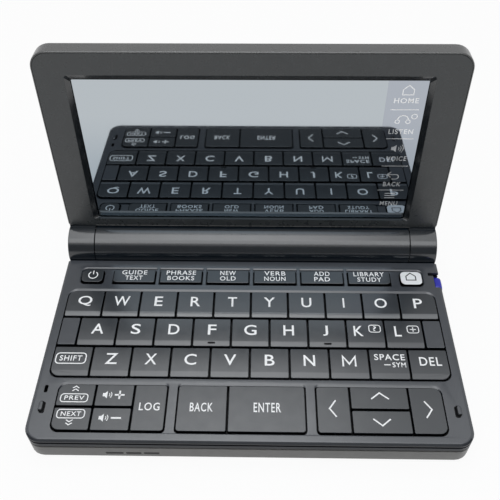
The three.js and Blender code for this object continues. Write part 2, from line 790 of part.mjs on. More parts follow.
function mainBoard() {
  const inset = wallThickness + matInset;
  const plate = prism(baseOutline(inset, innerRear + wallThickness), boardBottom, boardTop);
  const chipX = -processorShare * halfWidth;
  const chipY = (letterFront + letterRear) / 2;
  const half = processorSize / 2;
  const levels = [boardBottom - processorHeight, boardTop - seatGap];
  const chip = box(chipX - half, chipX + half, chipY - half, chipY + half, ...levels);
  const speakerX = slitStart + slitSpan / 2;
  const speakerY = wallThickness + speakerSetback + speakerRadius;
  const speakerBottom = boardBottom - speakerHeight;
  const speaker = cylinderAlongZ(speakerRadius, speakerX, speakerY, speakerBottom, boardTop - seatGap);
  const bossHoles = bosses(bossRadius + bossClearance, boardBottom - cutOverrun, boardTop + cutOverrun);
  return cut(join(plate, chip, speaker), ...bossHoles, headRoom());
}

// A cell with its nub, lying along X from its flat end at x0.
function cell(x0) {
  const bodyLength = cellLength - cellNubLength;
  const profile = [
    [0, 0],
    [cellRadius, 0],
    [cellRadius, bodyLength],
    [cellNubRadius, bodyLength],
    [cellNubRadius, cellLength],
    [0, cellLength],
  ].map(([radius, along]) => new THREE.Vector2(radius, along));
  const geometry = new THREE.LatheGeometry(profile, boreFacets);
  geometry.rotateZ(-Math.PI / 2);
  geometry.translate(x0, hingeSetback, hingeRise);
  return solidOf(geometry);
}

function batteryCover() {
  const x0 = bayLeft + seatGap;
  const x1 = bayRight - seatGap;
  const middle = (x0 + x1) / 2;
  const shell = coverArc(barrelBore, barrelRadius, x0, x1, coverHalfAngle);
  const ribs = [];
  for (let i = 0; i < gripRibs; i++) {
    const angle = (i - (gripRibs - 1) / 2) * gripRibStep;
    const depth = gripRibHeight + barrelWall / 2;
    const geometry = new THREE.BoxGeometry(gripRibLength, depth, gripRibWidth);
    geometry.translate(0, barrelRadius - barrelWall / 4 + gripRibHeight / 2, 0);
    geometry.rotateX(angle);
    geometry.translate(middle, hingeSetback, hingeRise);
    ribs.push(solidOf(geometry));
  }
  return join(shell, ...ribs);
}

function frictionHinge() {
  const start = bayRight + partitionThickness + shaftEndGap;
  const end = capOuter - capEndWall - seatGap;
  const shaft = onAxis(shaftRadius, start, end, boreFacets);
  const flangeEnd = barrelHalf - endWallThickness - seatGap;
  const flange = onAxis(barrelBore - flangeGap, flangeEnd - flangeThickness, flangeEnd, boreFacets);
  return join(shaft, flange);
}

function stylus() {
  const headStart = halfWidth + stylusStandout - stylusHeadLength;
  const start = headStart + stylusHeadLength - stylusLength;
  const ring = (x, width, height) => {
    const middle = (stylusTop + stylusBottom) / 2;
    const radius = height / 4;
    return roundedRect(-width / 2, width / 2, -height / 2, height / 2, radius, 2).map(([y, z]) => [
      x,
      stylusY + y,
      middle + z,
    ]);
  };
  const pen = loft([
    ring(start, stylusTipWidth, stylusTipWidth),
    ring(start + stylusTipLength, stylusWidth, stylusThickness),
    ring(headStart + seatGap, stylusWidth, stylusThickness),
  ]);
  const half = stylusHeadWidth / 2;
  const headEnd = headStart + stylusHeadLength;
  const radius = stylusHeadRadius;
  const [front, rear] = [stylusY - half, stylusY + half];
  const head = prismAlongX(
    roundedRect(front, rear, stylusBottom, -stylusHeadTop, radius, 3),
    headStart,
    headEnd,
  ).intersect(
    prism(roundedRect(headStart, headEnd, front, rear, [0, radius, radius, 0], 3), caseBottom, 0),
  );
  return join(pen, head);
}

// Lid pieces, drawn with the lid lying on its back: X along the hinge, Y from the hinge to the
// free edge, Z out of the screen's face.

function lidCover() {
  const rim = lidRearRadius * (1 - Math.SQRT1_2);
  const shell = slab([
    [lidBack, lidOutline(lidRearRadius)],
    [lidBack + rim, lidOutline(rim)],
    [lidBack + lidRearRadius, lidOutline(0)],
    [lidFace - lidFrontBevel, lidOutline(0)],
    [lidFace, lidOutline(lidFrontBevel)],
  ]);
  const shelf = lidFace - bezelThickness - seatGap;
  const trays = [
    prism(lidOutline(lidWall), lidFloor, lidFace + cutOverrun),
    prism(lidOutline(lidRim), shelf, lidFace + cutOverrun),
  ];
  const capBore = barrelRadius - capWall;
  const drumEnd = capOuter - capEndWall;
  const neckTop = lidBottom + lidNeck;
  const lidAxis = (radius, x0, x1, facets) => cylinderAlongX(radius, x0, x1, 0, 0, facets);
  const caps = [-1, 1].map((side) => {
    const span = (a, b) => (side < 0 ? [-b, -a] : [a, b]);
    const ends = span(capInner, capOuter);
    const drum = join(
      lidAxis(barrelRadius, ...ends, barrelFacets),
      box(...ends, 0, lidBottom + lidRim / 2, lidBack, lidFace),
      box(...ends, 0, neckTop, lidBack, lidFloor),
    );
    return cut(drum, lidAxis(capBore, ...span(capInner - cutOverrun, drumEnd), boreFacets));
  });
  const boss = cut(
    lidAxis(shaftRadius + shaftGap + bossWall, capInner, drumEnd + seatGap, boreFacets),
    lidAxis(shaftRadius + shaftGap, capInner - cutOverrun, drumEnd, boreFacets),
  );
  const pivotEnd = -barrelHalf + endWallThickness + pivotReach;
  const pivot = cut(
    lidAxis(shaftRadius, -drumEnd - seatGap, pivotEnd, boreFacets),
    lidAxis(shaftRadius - pivotWall, -drumEnd, pivotEnd + cutOverrun, boreFacets),
  );
  return join(cut(shell, ...trays), ...caps, boss, pivot);
}

function lidBezel() {
  const inset = lidRim + seatGap;
  const wallInset = lidWall + seatGap;
  const plateBack = lidFace - bezelThickness;
  const plate = slab([
    [plateBack, lidOutline(inset)],
    [lidFace - bezelEdgeBevel, lidOutline(inset)],
    [lidFace, lidOutline(inset + bezelEdgeBevel)],
  ]);
  const wallBottom = lidFloor + seatGap;
  const wall = cut(
    prism(lidOutline(wallInset), wallBottom, plateBack + seatGap),
    prism(lidOutline(wallInset + bezelWall), wallBottom - cutOverrun, lidFace),
  );
  const skirtBottom = lidFace - glassDepth + seatGap;
  const opening = (grow, lowFlare, highFlare, sideFlare) =>
    roundedRect(
      -windowShift - glassHalfWidth - sideFlare - grow,
      -windowShift + glassHalfWidth + sideFlare + grow,
      glassBottom - lowFlare - grow,
      glassTop + highFlare + grow,
      windowRadius,
    );
  const low = opening(0, 0, 0, 0);
  const middle = opening(0, windowLowerFlare, 0, 0);
  const high = opening(0, windowLowerFlare, windowUpperFlare, windowSideFlare);
  const skirt = prism(opening(bezelWall, 0, 0, 0), skirtBottom, lidFace - bezelThickness / 2);
  const window = slab([
    [skirtBottom - cutOverrun, low],
    [skirtBottom, low],
    [lidFace - windowChamferDepth, middle],
    [lidFace, high],
    [lidFace + cutOverrun, high],
  ]);
  return cut(join(plate, wall, skirt), window);
}

function displayModule() {
  const front = lidFace - glassDepth;
  const half = glassHalfWidth + displayMargin;
  const [left, right] = [-windowShift - half, -windowShift + half];
  const outline = roundedRect(left, right, displayBottom, glassTop + displayMargin, displayRadius);
  return prism(outline, front - displayThickness, front);
}

// Assembly

const base = new THREE.Group();
base.add(meshOf('keyboard_deck', keyboardDeck(), 'darkPlastic'));
base.add(meshOf('bottom_case', bottomCase(), 'casePlastic'));
base.add(meshOf('key_mat', keyMat(), 'rubber'));
base.add(meshOf('main_board', mainBoard(), 'board'));
base.add(meshOf('battery_left', cell(bayLeft + cellGap), 'cell'));
base.add(meshOf('battery_right', cell(bayLeft + cellLength + 2 * cellGap), 'cell'));
base.add(meshOf('battery_cover', batteryCover(), 'casePlastic'));
base.add(meshOf('friction_hinge', frictionHinge(), 'steel'));
base.add(meshOf('stylus', stylus(), 'blue'));
for (const key of keys) {
  const finish = key.name === 'key_home' ? 'whitePlastic' : 'keyPlastic';
  base.add(meshOf(key.name, keySolid(key), finish));
}

const lid = new THREE.Group();
lid.add(meshOf('lid_cover', lidCover(), 'darkPlastic'));
lid.add(meshOf('lid_bezel', lidBezel(), 'darkPlastic'));
lid.add(meshOf('display_module', displayModule(), 'glass'));
lid.position.set(0, hingeSetback, hingeRise);
lid.rotation.x = Math.PI - lidAngle;
base.add(lid);

// The part's zero is under the middle of its overall depth, on the surface it stands on.
const lean = lidAngle - Math.PI / 2;
const overallDepth = hingeSetback + lidLength * Math.sin(lean) - lidBack * Math.cos(lean);
const dictionary = new THREE.Group();
base.position.set(0, -overallDepth / 2, -restLevel);
dictionary.add(base);

export default dictionary;
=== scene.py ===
import json
import math

import bmesh
import bpy
from mathutils import Euler, Matrix, Vector
from mathutils.geometry import tessellate_polygon


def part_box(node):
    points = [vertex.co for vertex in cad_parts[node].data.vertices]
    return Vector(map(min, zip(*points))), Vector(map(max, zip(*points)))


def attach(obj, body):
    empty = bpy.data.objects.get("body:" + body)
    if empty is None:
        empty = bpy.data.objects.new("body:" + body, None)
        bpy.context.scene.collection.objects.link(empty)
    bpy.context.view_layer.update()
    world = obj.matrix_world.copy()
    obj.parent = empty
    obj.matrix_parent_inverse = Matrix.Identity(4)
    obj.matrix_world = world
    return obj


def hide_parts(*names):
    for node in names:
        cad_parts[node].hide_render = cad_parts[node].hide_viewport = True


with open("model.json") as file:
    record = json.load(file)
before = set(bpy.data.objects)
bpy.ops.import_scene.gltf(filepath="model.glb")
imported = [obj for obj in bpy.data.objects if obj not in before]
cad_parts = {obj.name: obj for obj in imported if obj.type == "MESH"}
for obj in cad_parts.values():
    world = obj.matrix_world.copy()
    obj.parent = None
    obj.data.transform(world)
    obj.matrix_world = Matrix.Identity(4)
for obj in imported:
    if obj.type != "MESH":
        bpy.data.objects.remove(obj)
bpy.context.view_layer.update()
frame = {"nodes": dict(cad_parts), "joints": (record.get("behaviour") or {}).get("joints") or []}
nodes = frame["nodes"]

MM = 0.001
SKIRT_DEPTH = 3.8
deck_low, deck_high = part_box("keyboard_deck")
base_zero = Vector((0, deck_low.y, deck_low.z + SKIRT_DEPTH * MM))
hinge = next(joint for joint in frame["joints"] if joint["name"] == "lid_hinge")
hinge_axis = Vector(hinge["pos_m"])

# Closing turns the lid to its upper limit. What that has over a right angle is how far it leans back.
lean = math.radians(hinge["range_deg"][1] - 90)
lid_up = Vector((0, math.sin(lean), math.cos(lean)))
lid_out = Vector((0, -math.cos(lean), math.sin(lean)))

BASE = Matrix.Translation(base_zero) @ Matrix.Scale(MM, 4)
LID = Matrix.Translation(hinge_axis) @ Matrix(
    ((1, 0, 0, 0), (0, lid_up.y, lid_out.y, 0), (0, lid_up.z, lid_out.z, 0), (0, 0, 0, 1))
) @ Matrix.Scale(MM, 4)

HALF = deck_high.x / MM
AXIS = (hinge_axis.y - base_zero.y) / MM, (hinge_axis.z - base_zero.z) / MM


# Materials

# A noise lies mostly between these two values.
NOISE_LOW, NOISE_HIGH = 0.3, 0.7


def shader(name):
    made = bpy.data.materials.new(name)
    made.use_nodes = True
    tree = made.node_tree
    tree.nodes.clear()
    out = tree.nodes.new("ShaderNodeOutputMaterial")
    surface = tree.nodes.new("ShaderNodeBsdfPrincipled")
    tree.links.new(surface.outputs["BSDF"], out.inputs["Surface"])
    return made, tree, surface


def arithmetic(tree, operation, *inputs):
    """A sum over numbers and the outputs of other nodes."""
    made = tree.nodes.new("ShaderNodeMath")
    made.operation = operation
    for socket, value in zip(made.inputs, inputs):
        if isinstance(value, (int, float)):
            socket.default_value = value
        else:
            tree.links.new(value, socket)
    return made.outputs["Value"]


def coordinate(tree, space, axis):
    place = tree.nodes.new("ShaderNodeTexCoord")
    split = tree.nodes.new("ShaderNodeSeparateXYZ")
    tree.links.new(place.outputs[space], split.inputs["Vector"])
    return split.outputs[axis]


def noise(tree, scale, detail=2.0, roughness=0.5):
    place = tree.nodes.new("ShaderNodeTexCoord")
    field = tree.nodes.new("ShaderNodeTexNoise")
    field.inputs["Scale"].default_value = scale
    field.inputs["Detail"].default_value = detail
    field.inputs["Roughness"].default_value = roughness
    tree.links.new(place.outputs["Object"], field.inputs["Vector"])
    return field.outputs["Fac"]


def ramp(tree, fac, stops, mode="LINEAR"):
    """A colour between two stops."""
    made = tree.nodes.new("ShaderNodeValToRGB")
    made.color_ramp.interpolation = mode
    for element, (place, color) in zip(made.color_ramp.elements, stops):
        element.position = place
        element.color = (*color, 1)
    tree.links.new(fac, made.inputs["Fac"])
    return made.outputs["Color"]


def spread(tree, value, low, high, start=NOISE_LOW, end=NOISE_HIGH, mode="LINEAR"):
    """The stretch of a value from start to end, mapped onto low to high."""
    made = tree.nodes.new("ShaderNodeMapRange")
    made.interpolation_type = mode
    for socket, number in (("From Min", start), ("From Max", end), ("To Min", low), ("To Max", high)):
        made.inputs[socket].default_value = number
    tree.links.new(value, made.inputs["Value"])
    return made.outputs["Result"]


def bump(tree, height, strength, distance, normal=None):
    made = tree.nodes.new("ShaderNodeBump")
    made.inputs["Strength"].default_value = strength
    made.inputs["Distance"].default_value = distance
    tree.links.new(height, made.inputs["Height"])
    if normal:
        tree.links.new(normal, made.inputs["Normal"])
    return made.outputs["Normal"]


def moulded(name, color, roughness=0.3, grain=0.3, mottle=0.05, specular=0.65, metallic=0.0):
    """Moulded plastic with a fine spark-eroded grain, faint colour drift and uneven gloss."""
    made, tree, surface = shader(name)
    drift = noise(tree, scale=90, detail=4, roughness=0.6)
    darker, lighter = [[c * share for c in color] for share in (1 - mottle, 1 + mottle)]
    tone = ramp(tree, drift, [(NOISE_LOW, darker), (NOISE_HIGH, lighter)])
    tree.links.new(tone, surface.inputs["Base Color"])
    gloss = noise(tree, scale=260, detail=3, roughness=0.6)
    tree.links.new(spread(tree, gloss, roughness - 0.03, roughness + 0.04), surface.inputs["Roughness"])
    fine = bump(tree, noise(tree, scale=3600, roughness=0.55), grain, distance=0.00002)
    coarse = bump(tree, noise(tree, scale=900), grain * 0.15, distance=0.00003, normal=fine)
    tree.links.new(coarse, surface.inputs["Normal"])
    surface.inputs["Specular IOR Level"].default_value = specular
    surface.inputs["Metallic"].default_value = metallic
    return made


# After the colour: roughness, grain, mottle, specular level and, on metal, metallic.
deck_plastic = moulded("deck_plastic", (0.034, 0.040, 0.050), 0.18, 0.22, 0.05, 0.74)
key_plastic = moulded("key_plastic", (0.020, 0.025, 0.031), 0.19, 0.12, 0.05, 0.64)
# The next two are lighter copies of the key plastic for the sloped key fronts: a painted highlight,
# brightest on the rear letter row.
key_slope = moulded("key_slope", (0.037, 0.042, 0.049), 0.16, 0.12, 0.05, 0.70)
rear_slope_highlight = moulded("rear_slope_highlight", (0.100, 0.107, 0.115), 0.16, 0.12, 0.05, 0.70)
# A darker, less glossy copy of the deck plastic for the deck's outer walls and the front of its bevel:
# painted shade.
rim_shade = moulded("rim_shade", (0.024, 0.027, 0.032), 0.30, 0.15, 0.05, 0.12)
bezel_plastic = moulded("bezel_plastic", (0.027, 0.031, 0.033), 0.28, 0.09)
chamfer_plastic = moulded("chamfer_plastic", (0.004, 0.006, 0.008), 0.12, 0.05, 0.05, 1.0)
cover_plastic = moulded("cover_plastic", (0.084, 0.085, 0.085), 0.28, 0.1)
barrel_plastic = moulded("barrel_plastic", (0.005, 0.009, 0.014), 0.16, 0.12, 0.05, 0.85)
case_plastic = moulded("case_plastic", (0.080, 0.080, 0.077), 0.38, 0.4)
# Near black, for the inner sides and fronts of the pads and the walls of the blank keys: painted shade.
side_shade = moulded("side_shade", (0.003, 0.004, 0.005), 0.30, 0.1, 0.05, 0.1)
home_plastic = moulded("home_plastic", (0.88, 0.90, 0.92), 0.30, 0.10, 0.02, 0.5)
pen_plastic = moulded("pen_plastic", (0.016, 0.020, 0.42), 0.16, 0.08, 0.06, 0.5)
mat_rubber = moulded("mat_rubber", (0.010, 0.010, 0.011), 0.6, 0.5, 0.05, 0.4)
print_white = moulded("print_white", (0.92, 0.93, 0.94), 0.45, 0.05, 0.02, 0.4)
print_dark = moulded("print_dark", (0.020, 0.022, 0.026), 0.40, 0.05, 0.02, 0.4)
# Black print for the display's border. It is also laid as painted shade on key walls, finger bars, the
# deck's holes, groove and crescents, and the slits.
black_print_and_shade = moulded("black_print_and_shade", (0.003, 0.003, 0.004), 0.25, 0.02, 0.02, 0.1)
icon_print = moulded("icon_print", (0.90, 0.91, 0.92), 0.08, 0.02, 0.02, 0.5, 0.55)
steel = moulded("steel", (0.50, 0.51, 0.52), 0.28, 0.15, 0.05, 0.5, 1.0)

# The mirror gains its full strength between these heights over the hinge axis, in metres. The weaker
# mirror below them is painted shade on what the display reflects near the hinge.
MIRROR_WEAK, MIRROR_FULL = 0.020, 0.066
HAZE = 0.08


def glass(name, low, high):
    """The dark display under its smooth front sheet, which mirrors what stands before it. Its
    mirror is a little weaker towards the hinge: painted shade that darkens what it mirrors there."""
    made, tree, surface = shader(name)
    start, end = hinge_axis.z + MIRROR_WEAK, hinge_axis.z + MIRROR_FULL
    rise = spread(tree, coordinate(tree, "Object", "Z"), 0, 1, start, end, "SMOOTHSTEP")
    haze = noise(tree, scale=30, detail=4, roughness=0.6)
    hazy = arithmetic(tree, "MULTIPLY_ADD", haze, HAZE, rise)
    tree.links.new(ramp(tree, hazy, [(0.0, low), (1.0, high)]), surface.inputs["Base Color"])
    surface.inputs["Metallic"].default_value = 1.0
    smears = noise(tree, scale=500, detail=3, roughness=0.6)
    tree.links.new(spread(tree, smears, 0.02, 0.04), surface.inputs["Roughness"])
    return made


screen_glass = glass("screen_glass", (0.31, 0.37, 0.42), (0.47, 0.51, 0.54))
strip_glass = glass("strip_glass", (0.29, 0.34, 0.39), (0.41, 0.44, 0.49))


def board_skin():
    """Green solder mask with the shadow of its copper tracks."""
    made, tree, surface = shader("board_green")
    place = tree.nodes.new("ShaderNodeTexCoord")
    tracks = tree.nodes.new("ShaderNodeTexBrick")
    tracks.inputs["Scale"].default_value = 160
    tracks.inputs["Mortar Size"].default_value = 0.012
    tracks.inputs["Color1"].default_value = (0.010, 0.080, 0.040, 1)
    tracks.inputs["Color2"].default_value = (0.012, 0.095, 0.048, 1)
    tracks.inputs["Mortar"].default_value = (0.040, 0.190, 0.090, 1)
    tree.links.new(place.outputs["Object"], tracks.inputs["Vector"])
    tree.links.new(tracks.outputs["Color"], surface.inputs["Base Color"])
    gloss = spread(tree, noise(tree, scale=200, detail=3), 0.28, 0.4)
    tree.links.new(gloss, surface.inputs["Roughness"])
    relief = bump(tree, tracks.outputs["Fac"], 0.4, distance=0.00005)
    tree.links.new(relief, surface.inputs["Normal"])
    return made


def cell_sleeve():
    """A plain sleeve, dark towards the flat end and pale for the rest of its length."""
    made, tree, surface = shader("cell_sleeve")
    along = coordinate(tree, "Generated", "X")
    stops = [(0.0, (0.030, 0.031, 0.033)), (0.30, (0.46, 0.47, 0.48))]
    tree.links.new(ramp(tree, along, stops, "CONSTANT"), surface.inputs["Base Color"])
    gloss = spread(tree, noise(tree, scale=150, detail=3), 0.22, 0.32)
    tree.links.new(gloss, surface.inputs["Roughness"])
    surface.inputs["Metallic"].default_value = 0.5
    return made


# Outlines and legends, as lists of points in a plane


def arc(x, y, radius, start, end, steps=12):
    """Points round a centre, from one angle in degrees to another."""
    turn = [math.radians(start + (end - start) * i / steps) for i in range(steps + 1)]
    return [(x + radius * math.cos(a), y + radius * math.sin(a)) for a in turn]


def circle(x, y, radius, steps=12):
    return arc(x, y, radius, 0, 360, steps)[:-1]


def outline(x0, x1, y0, y1, radii, steps=6, crease=None):
    """Anticlockwise from the lower left corner. radii run lower left, lower right, upper right,
    upper left. crease is the y of two more points, one on each side."""
    a, b, c, d = radii
    points = arc(x0 + a, y0 + a, a, 180, 270, steps) + arc(x1 - b, y0 + b, b, 270, 360, steps)
    if crease is not None:
        points.append((x1, crease))
    points += arc(x1 - c, y1 - c, c, 0, 90, steps) + arc(x0 + d, y1 - d, d, 90, 180, steps)
    if crease is not None:
        points.append((x0, crease))
    return points


LEAST_MITRE = 0.4


def stroke(points, width, closed=False):
    """A line of even width with mitred turns, as one four-sided face for each stretch."""
    count = len(points)
    sides = []
    for i, (x, y) in enumerate(points):
        before = points[i - 1] if closed or i > 0 else None
        after = points[(i + 1) % count] if closed or i + 1 < count else None
        ways = []
        for a, b in ((before, (x, y)), ((x, y), after)):
            if a and b:
                length = math.dist(a, b)
                ways.append(Vector(((b[0] - a[0]) / length, (b[1] - a[1]) / length)))
        along = sum(ways, Vector((0, 0))).normalized()
        half = width / 2 / max(along.dot(ways[0]), LEAST_MITRE)
        left = (x - along.y * half, y + along.x * half)
        right = (x + along.y * half, y - along.x * half)
        sides.append((left, right))
    faces = []
    for i in range(count if closed else count - 1):
        (a, b), (c, d) = sides[i], sides[(i + 1) % count]
        faces.append([b, d, c, a])
    return faces


def box_outline(x0, x1, y0, y1, radius=1.0, width=0.35):
    return stroke(outline(x0, x1, y0, y1, [radius] * 4, 4), width, True)


WORD_SPACING = 1.15
WORD_WEIGHT, LETTER_WEIGHT = 0.012, 0.009
glyphs = {}


def glyph_faces(text):
    """The flat faces of a run of text, fitted to a box of one by one. Words are bolder and wider."""
    if text in glyphs:
        return glyphs[text]
    curve = bpy.data.curves.new("run", "FONT")
    curve.body = text
    curve.resolution_u = 4
    curve.space_character = WORD_SPACING if len(text) > 1 else 1
    curve.offset = WORD_WEIGHT if len(text) > 1 else LETTER_WEIGHT
    holder = bpy.data.objects.new("run", curve)
    bpy.context.scene.collection.objects.link(holder)
    graph = bpy.context.evaluated_depsgraph_get()
    flat_mesh = bpy.data.meshes.new_from_object(holder.evaluated_get(graph))
    points = [(v.co.x, v.co.y) for v in flat_mesh.vertices]
    low_x, high_x = min(p[0] for p in points), max(p[0] for p in points)
    low_y, high_y = min(p[1] for p in points), max(p[1] for p in points)
    fitted = [((x - low_x) / (high_x - low_x), (y - low_y) / (high_y - low_y)) for x, y in points]
    glyphs[text] = [[fitted[i] for i in p.vertices] for p in flat_mesh.polygons]
    bpy.data.objects.remove(holder)
    bpy.data.curves.remove(curve)
    bpy.data.meshes.remove(flat_mesh)
    return glyphs[text]


def words(text, x0, x1, y0, y1):
    width, height = x1 - x0, y1 - y0
    return [[(x0 + u * width, y0 + v * height) for u, v in shape] for shape in glyph_faces(text)]


def chevron(x, y, drop):
    """An arrow head with its point at x, y and its arms' ends lower by the drop."""
    return stroke([(x - 1.1, y - drop), (x, y), (x + 1.1, y - drop)], 0.35)


def house(x, y, width, height, line):
    half = width / 2
    eaves = y + height * 0.55
    walls = [(x - half, y), (x + half, y), (x + half, eaves), (x, y + height), (x - half, eaves)]
    return stroke(walls, line, True)


def speaker(x, y, size, waves=2):
    """A loudspeaker with its sound waves."""
    neck, mouth = x + size * 0.22, x + size * 0.5
    narrow, wide = size * 0.2, size * 0.45
    shapes = [[(x, y - narrow), (neck, y - narrow), (neck, y + narrow), (x, y + narrow)],
              [(neck, y - narrow), (mouth, y - wide), (mouth, y + wide), (neck, y + narrow)]]
    for i in range(waves):
        shapes += stroke(arc(mouth, y, size * (0.28 + 0.22 * i), -42, 42, 6), 0.26)
    return shapes


def power_icon(x, y):
    return stroke(arc(x, y, 1.75, 125, 415, 20), 0.42) + stroke([(x, y + 0.3), (x, y + 2.15)], 0.42)


# Meshes

# Places in a piece's list of materials
SKIN, SECOND = 0, 1


def shown(name, mesh, body, materials, stands_for):
    """Puts a mesh in the scene as a piece that rides on a body."""
    made = bpy.data.objects.new(name, mesh)
    bpy.context.scene.collection.objects.link(made)
    for material in materials:
        mesh.materials.append(material)
    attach(made, body)
    if stands_for:
        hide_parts(*stands_for)
    return made


def even_shading(piece, keep_sharp):
    modifier = piece.modifiers.new("shading", "WEIGHTED_NORMAL")
    modifier.keep_sharp = keep_sharp
    modifier.weight = 100


def ring(form, points, z, place):
    return [form.verts.new(place @ Vector((x, y, z))) for x, y in points]


def cross_ring(form, points, x, place):
    """A ring across the object, at one x."""
    return [form.verts.new(place @ Vector((x, a, b))) for a, b in points]


def face(form, corners, index=SKIN):
    made = form.faces.new(corners)
    made.material_index = index


def bands(form, rings, index=SKIN):
    """The walls between each ring and the next."""
    for lower, upper in zip(rings, rings[1:]):
        for i in range(len(lower)):
            face(form, [lower[i - 1], lower[i], upper[i], upper[i - 1]], index)


def caps(form, rings, index=SKIN):
    """The two end faces of a stack of rings."""
    face(form, list(reversed(rings[0])), index)
    face(form, rings[-1], index)


def flat(form, loops):
    """The level face between an outer loop and the loops inside it."""
    corners = [vert for loop in loops for vert in loop]
    for trio in tessellate_polygon([[vert.co / MM for vert in loop] for loop in loops]):
        face(form, [corners[i] for i in trio])


def lay(form, shapes, z, place, index):
    """Print: thin flat faces laid just over a surface."""
    for shape in shapes:
        face(form, ring(form, shape, z, place), index)


def finished(name, form, body, materials, stands_for=(), sharp=38):
    """Turns a form into a piece. A loose flat face keeps the way it faces."""
    joined = [f for f in form.faces if any(len(edge.link_faces) > 1 for edge in f.edges)]
    bmesh.ops.recalc_face_normals(form, faces=joined)
    mesh = bpy.data.meshes.new(name)
    form.to_mesh(mesh)
    form.free()
    for polygon in mesh.polygons:
        polygon.use_smooth = True
    mesh.set_sharp_from_angle(angle=math.radians(sharp))
    even_shading(shown(name, mesh, body, materials, stands_for), True)


EDGE_WIDTH = 0.12
EDGE_ANGLE = 32


def rounded_copy(node, materials, body, choose=None):
    """The CAD node's own shape with its moulded edges broken."""
    mesh = nodes[node].data.copy()
    mesh.materials.clear()
    form = bmesh.new()
    form.from_mesh(mesh)
    bmesh.ops.remove_doubles(form, verts=form.verts, dist=1e-6)
    for part in form.faces:
        part.smooth = True
        part.material_index = choose(part.calc_center_median()) if choose else SKIN
    form.to_mesh(mesh)
    form.free()
    made = shown(node + "_shell", mesh, body, materials, [node])
    modifier = made.modifiers.new("edges", "BEVEL")
    modifier.width = EDGE_WIDTH * MM
    modifier.segments = 2
    modifier.limit_method = "ANGLE"
    modifier.angle_limit = math.radians(EDGE_ANGLE)
    modifier.use_clamp_overlap = False
    modifier.harden_normals = True
    even_shading(made, False)


def extent(name):
    """The left, right, front and rear of a node."""
    low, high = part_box(name)
    return low.x / MM, high.x / MM, (low.y - base_zero.y) / MM, (high.y - base_zero.y) / MM


# Keys

KEY_BOTTOM = -2.2
KEY_TOP = 0.45
KEY_GAP = 0.65
SLOPE = 2.1
SLOPE_DROP = 0.4
FILLET = 0.22
FILLET_STEPS = 3
KEY_STEPS = 6
FILM = 0.02
# The skins of a key beside SKIN: print, black walls that are painted shade, and the lighter slope that is
# a painted highlight
PRINT, DARK, SLOPED = 1, 2, 3

BAR_HALF = 1.35
BAR_DEPTH = 0.6
BAR_BACK = 0.5
BAR_RISE = 0.1
BAR_RADIUS = 0.28
BAR_ROUND = 0.12

REAR_ROW = "qwertyuiop"
LETTER_WIDTHS = {
    "q": 5.4, "w": 6.1, "e": 3.1, "r": 3.7, "t": 3.5, "y": 4.2, "u": 3.8, "i": 0.62, "o": 4.7,
    "p": 3.4, "a": 4.5, "s": 3.5, "d": 4.1, "f": 3.1, "g": 4.6, "h": 3.9, "j": 1.9, "k": 3.5,
    "l": 2.5, "z": 4.3, "x": 4.2, "c": 4.3, "v": 4.4, "b": 3.5, "n": 4.1, "m": 4.4,
}
LETTER_PLACES = {"j": 27.7, "k": 39.85, "l": 54.35}
LETTER_RISE = 2.25
TAIL = {"q": 0.3}

TIGHT = 0.45
CORNERS = {
    "power": [1.8] * 4, "home": [1.8] * 4,
    "q": [TIGHT, TIGHT, TIGHT, 3], "p": [TIGHT, TIGHT, 3, TIGHT],
    "shift": [3, TIGHT, TIGHT, TIGHT], "delete": [TIGHT, 3, TIGHT, TIGHT],
    "function_1": [1.6, 0.6, 0.6, 0.6], "function_6": [0.6, 1.6, 0.6, 0.6],
    "heading_next": [2.6, TIGHT, TIGHT, TIGHT], "heading_previous": [TIGHT, TIGHT, TIGHT, 2.6],
    "history": [TIGHT, 1, 1, TIGHT], "back": [1, TIGHT, TIGHT, 1], "enter": [TIGHT, 1, 1, TIGHT],
    "cursor_left": [1, TIGHT, TIGHT, 1], "cursor_right": [TIGHT, 2.6, 2.6, TIGHT],
}

FUNCTION_WORDS = {
    "function_1": [("GUIDE", 10.0), ("TEXT", 6.9)],
    "function_2": [("PHRASE", 11.7), ("BOOKS", 10.6)],
    "function_3": [("NEW", 6.2), ("OLD", 6.2)],
    "function_4": [("VERB", 8.4), ("NOUN", 8.4)],
    "function_5": [("ADD", 6.2), ("PAD", 6.2)],
    "function_6": [("LIBRARY", 12.1), ("STUDY", 9.4)],
}
FUNCTION_LINE = 70.15
FUNCTION_LEADING = 2.75
FUNCTION_HEIGHT = 2.15

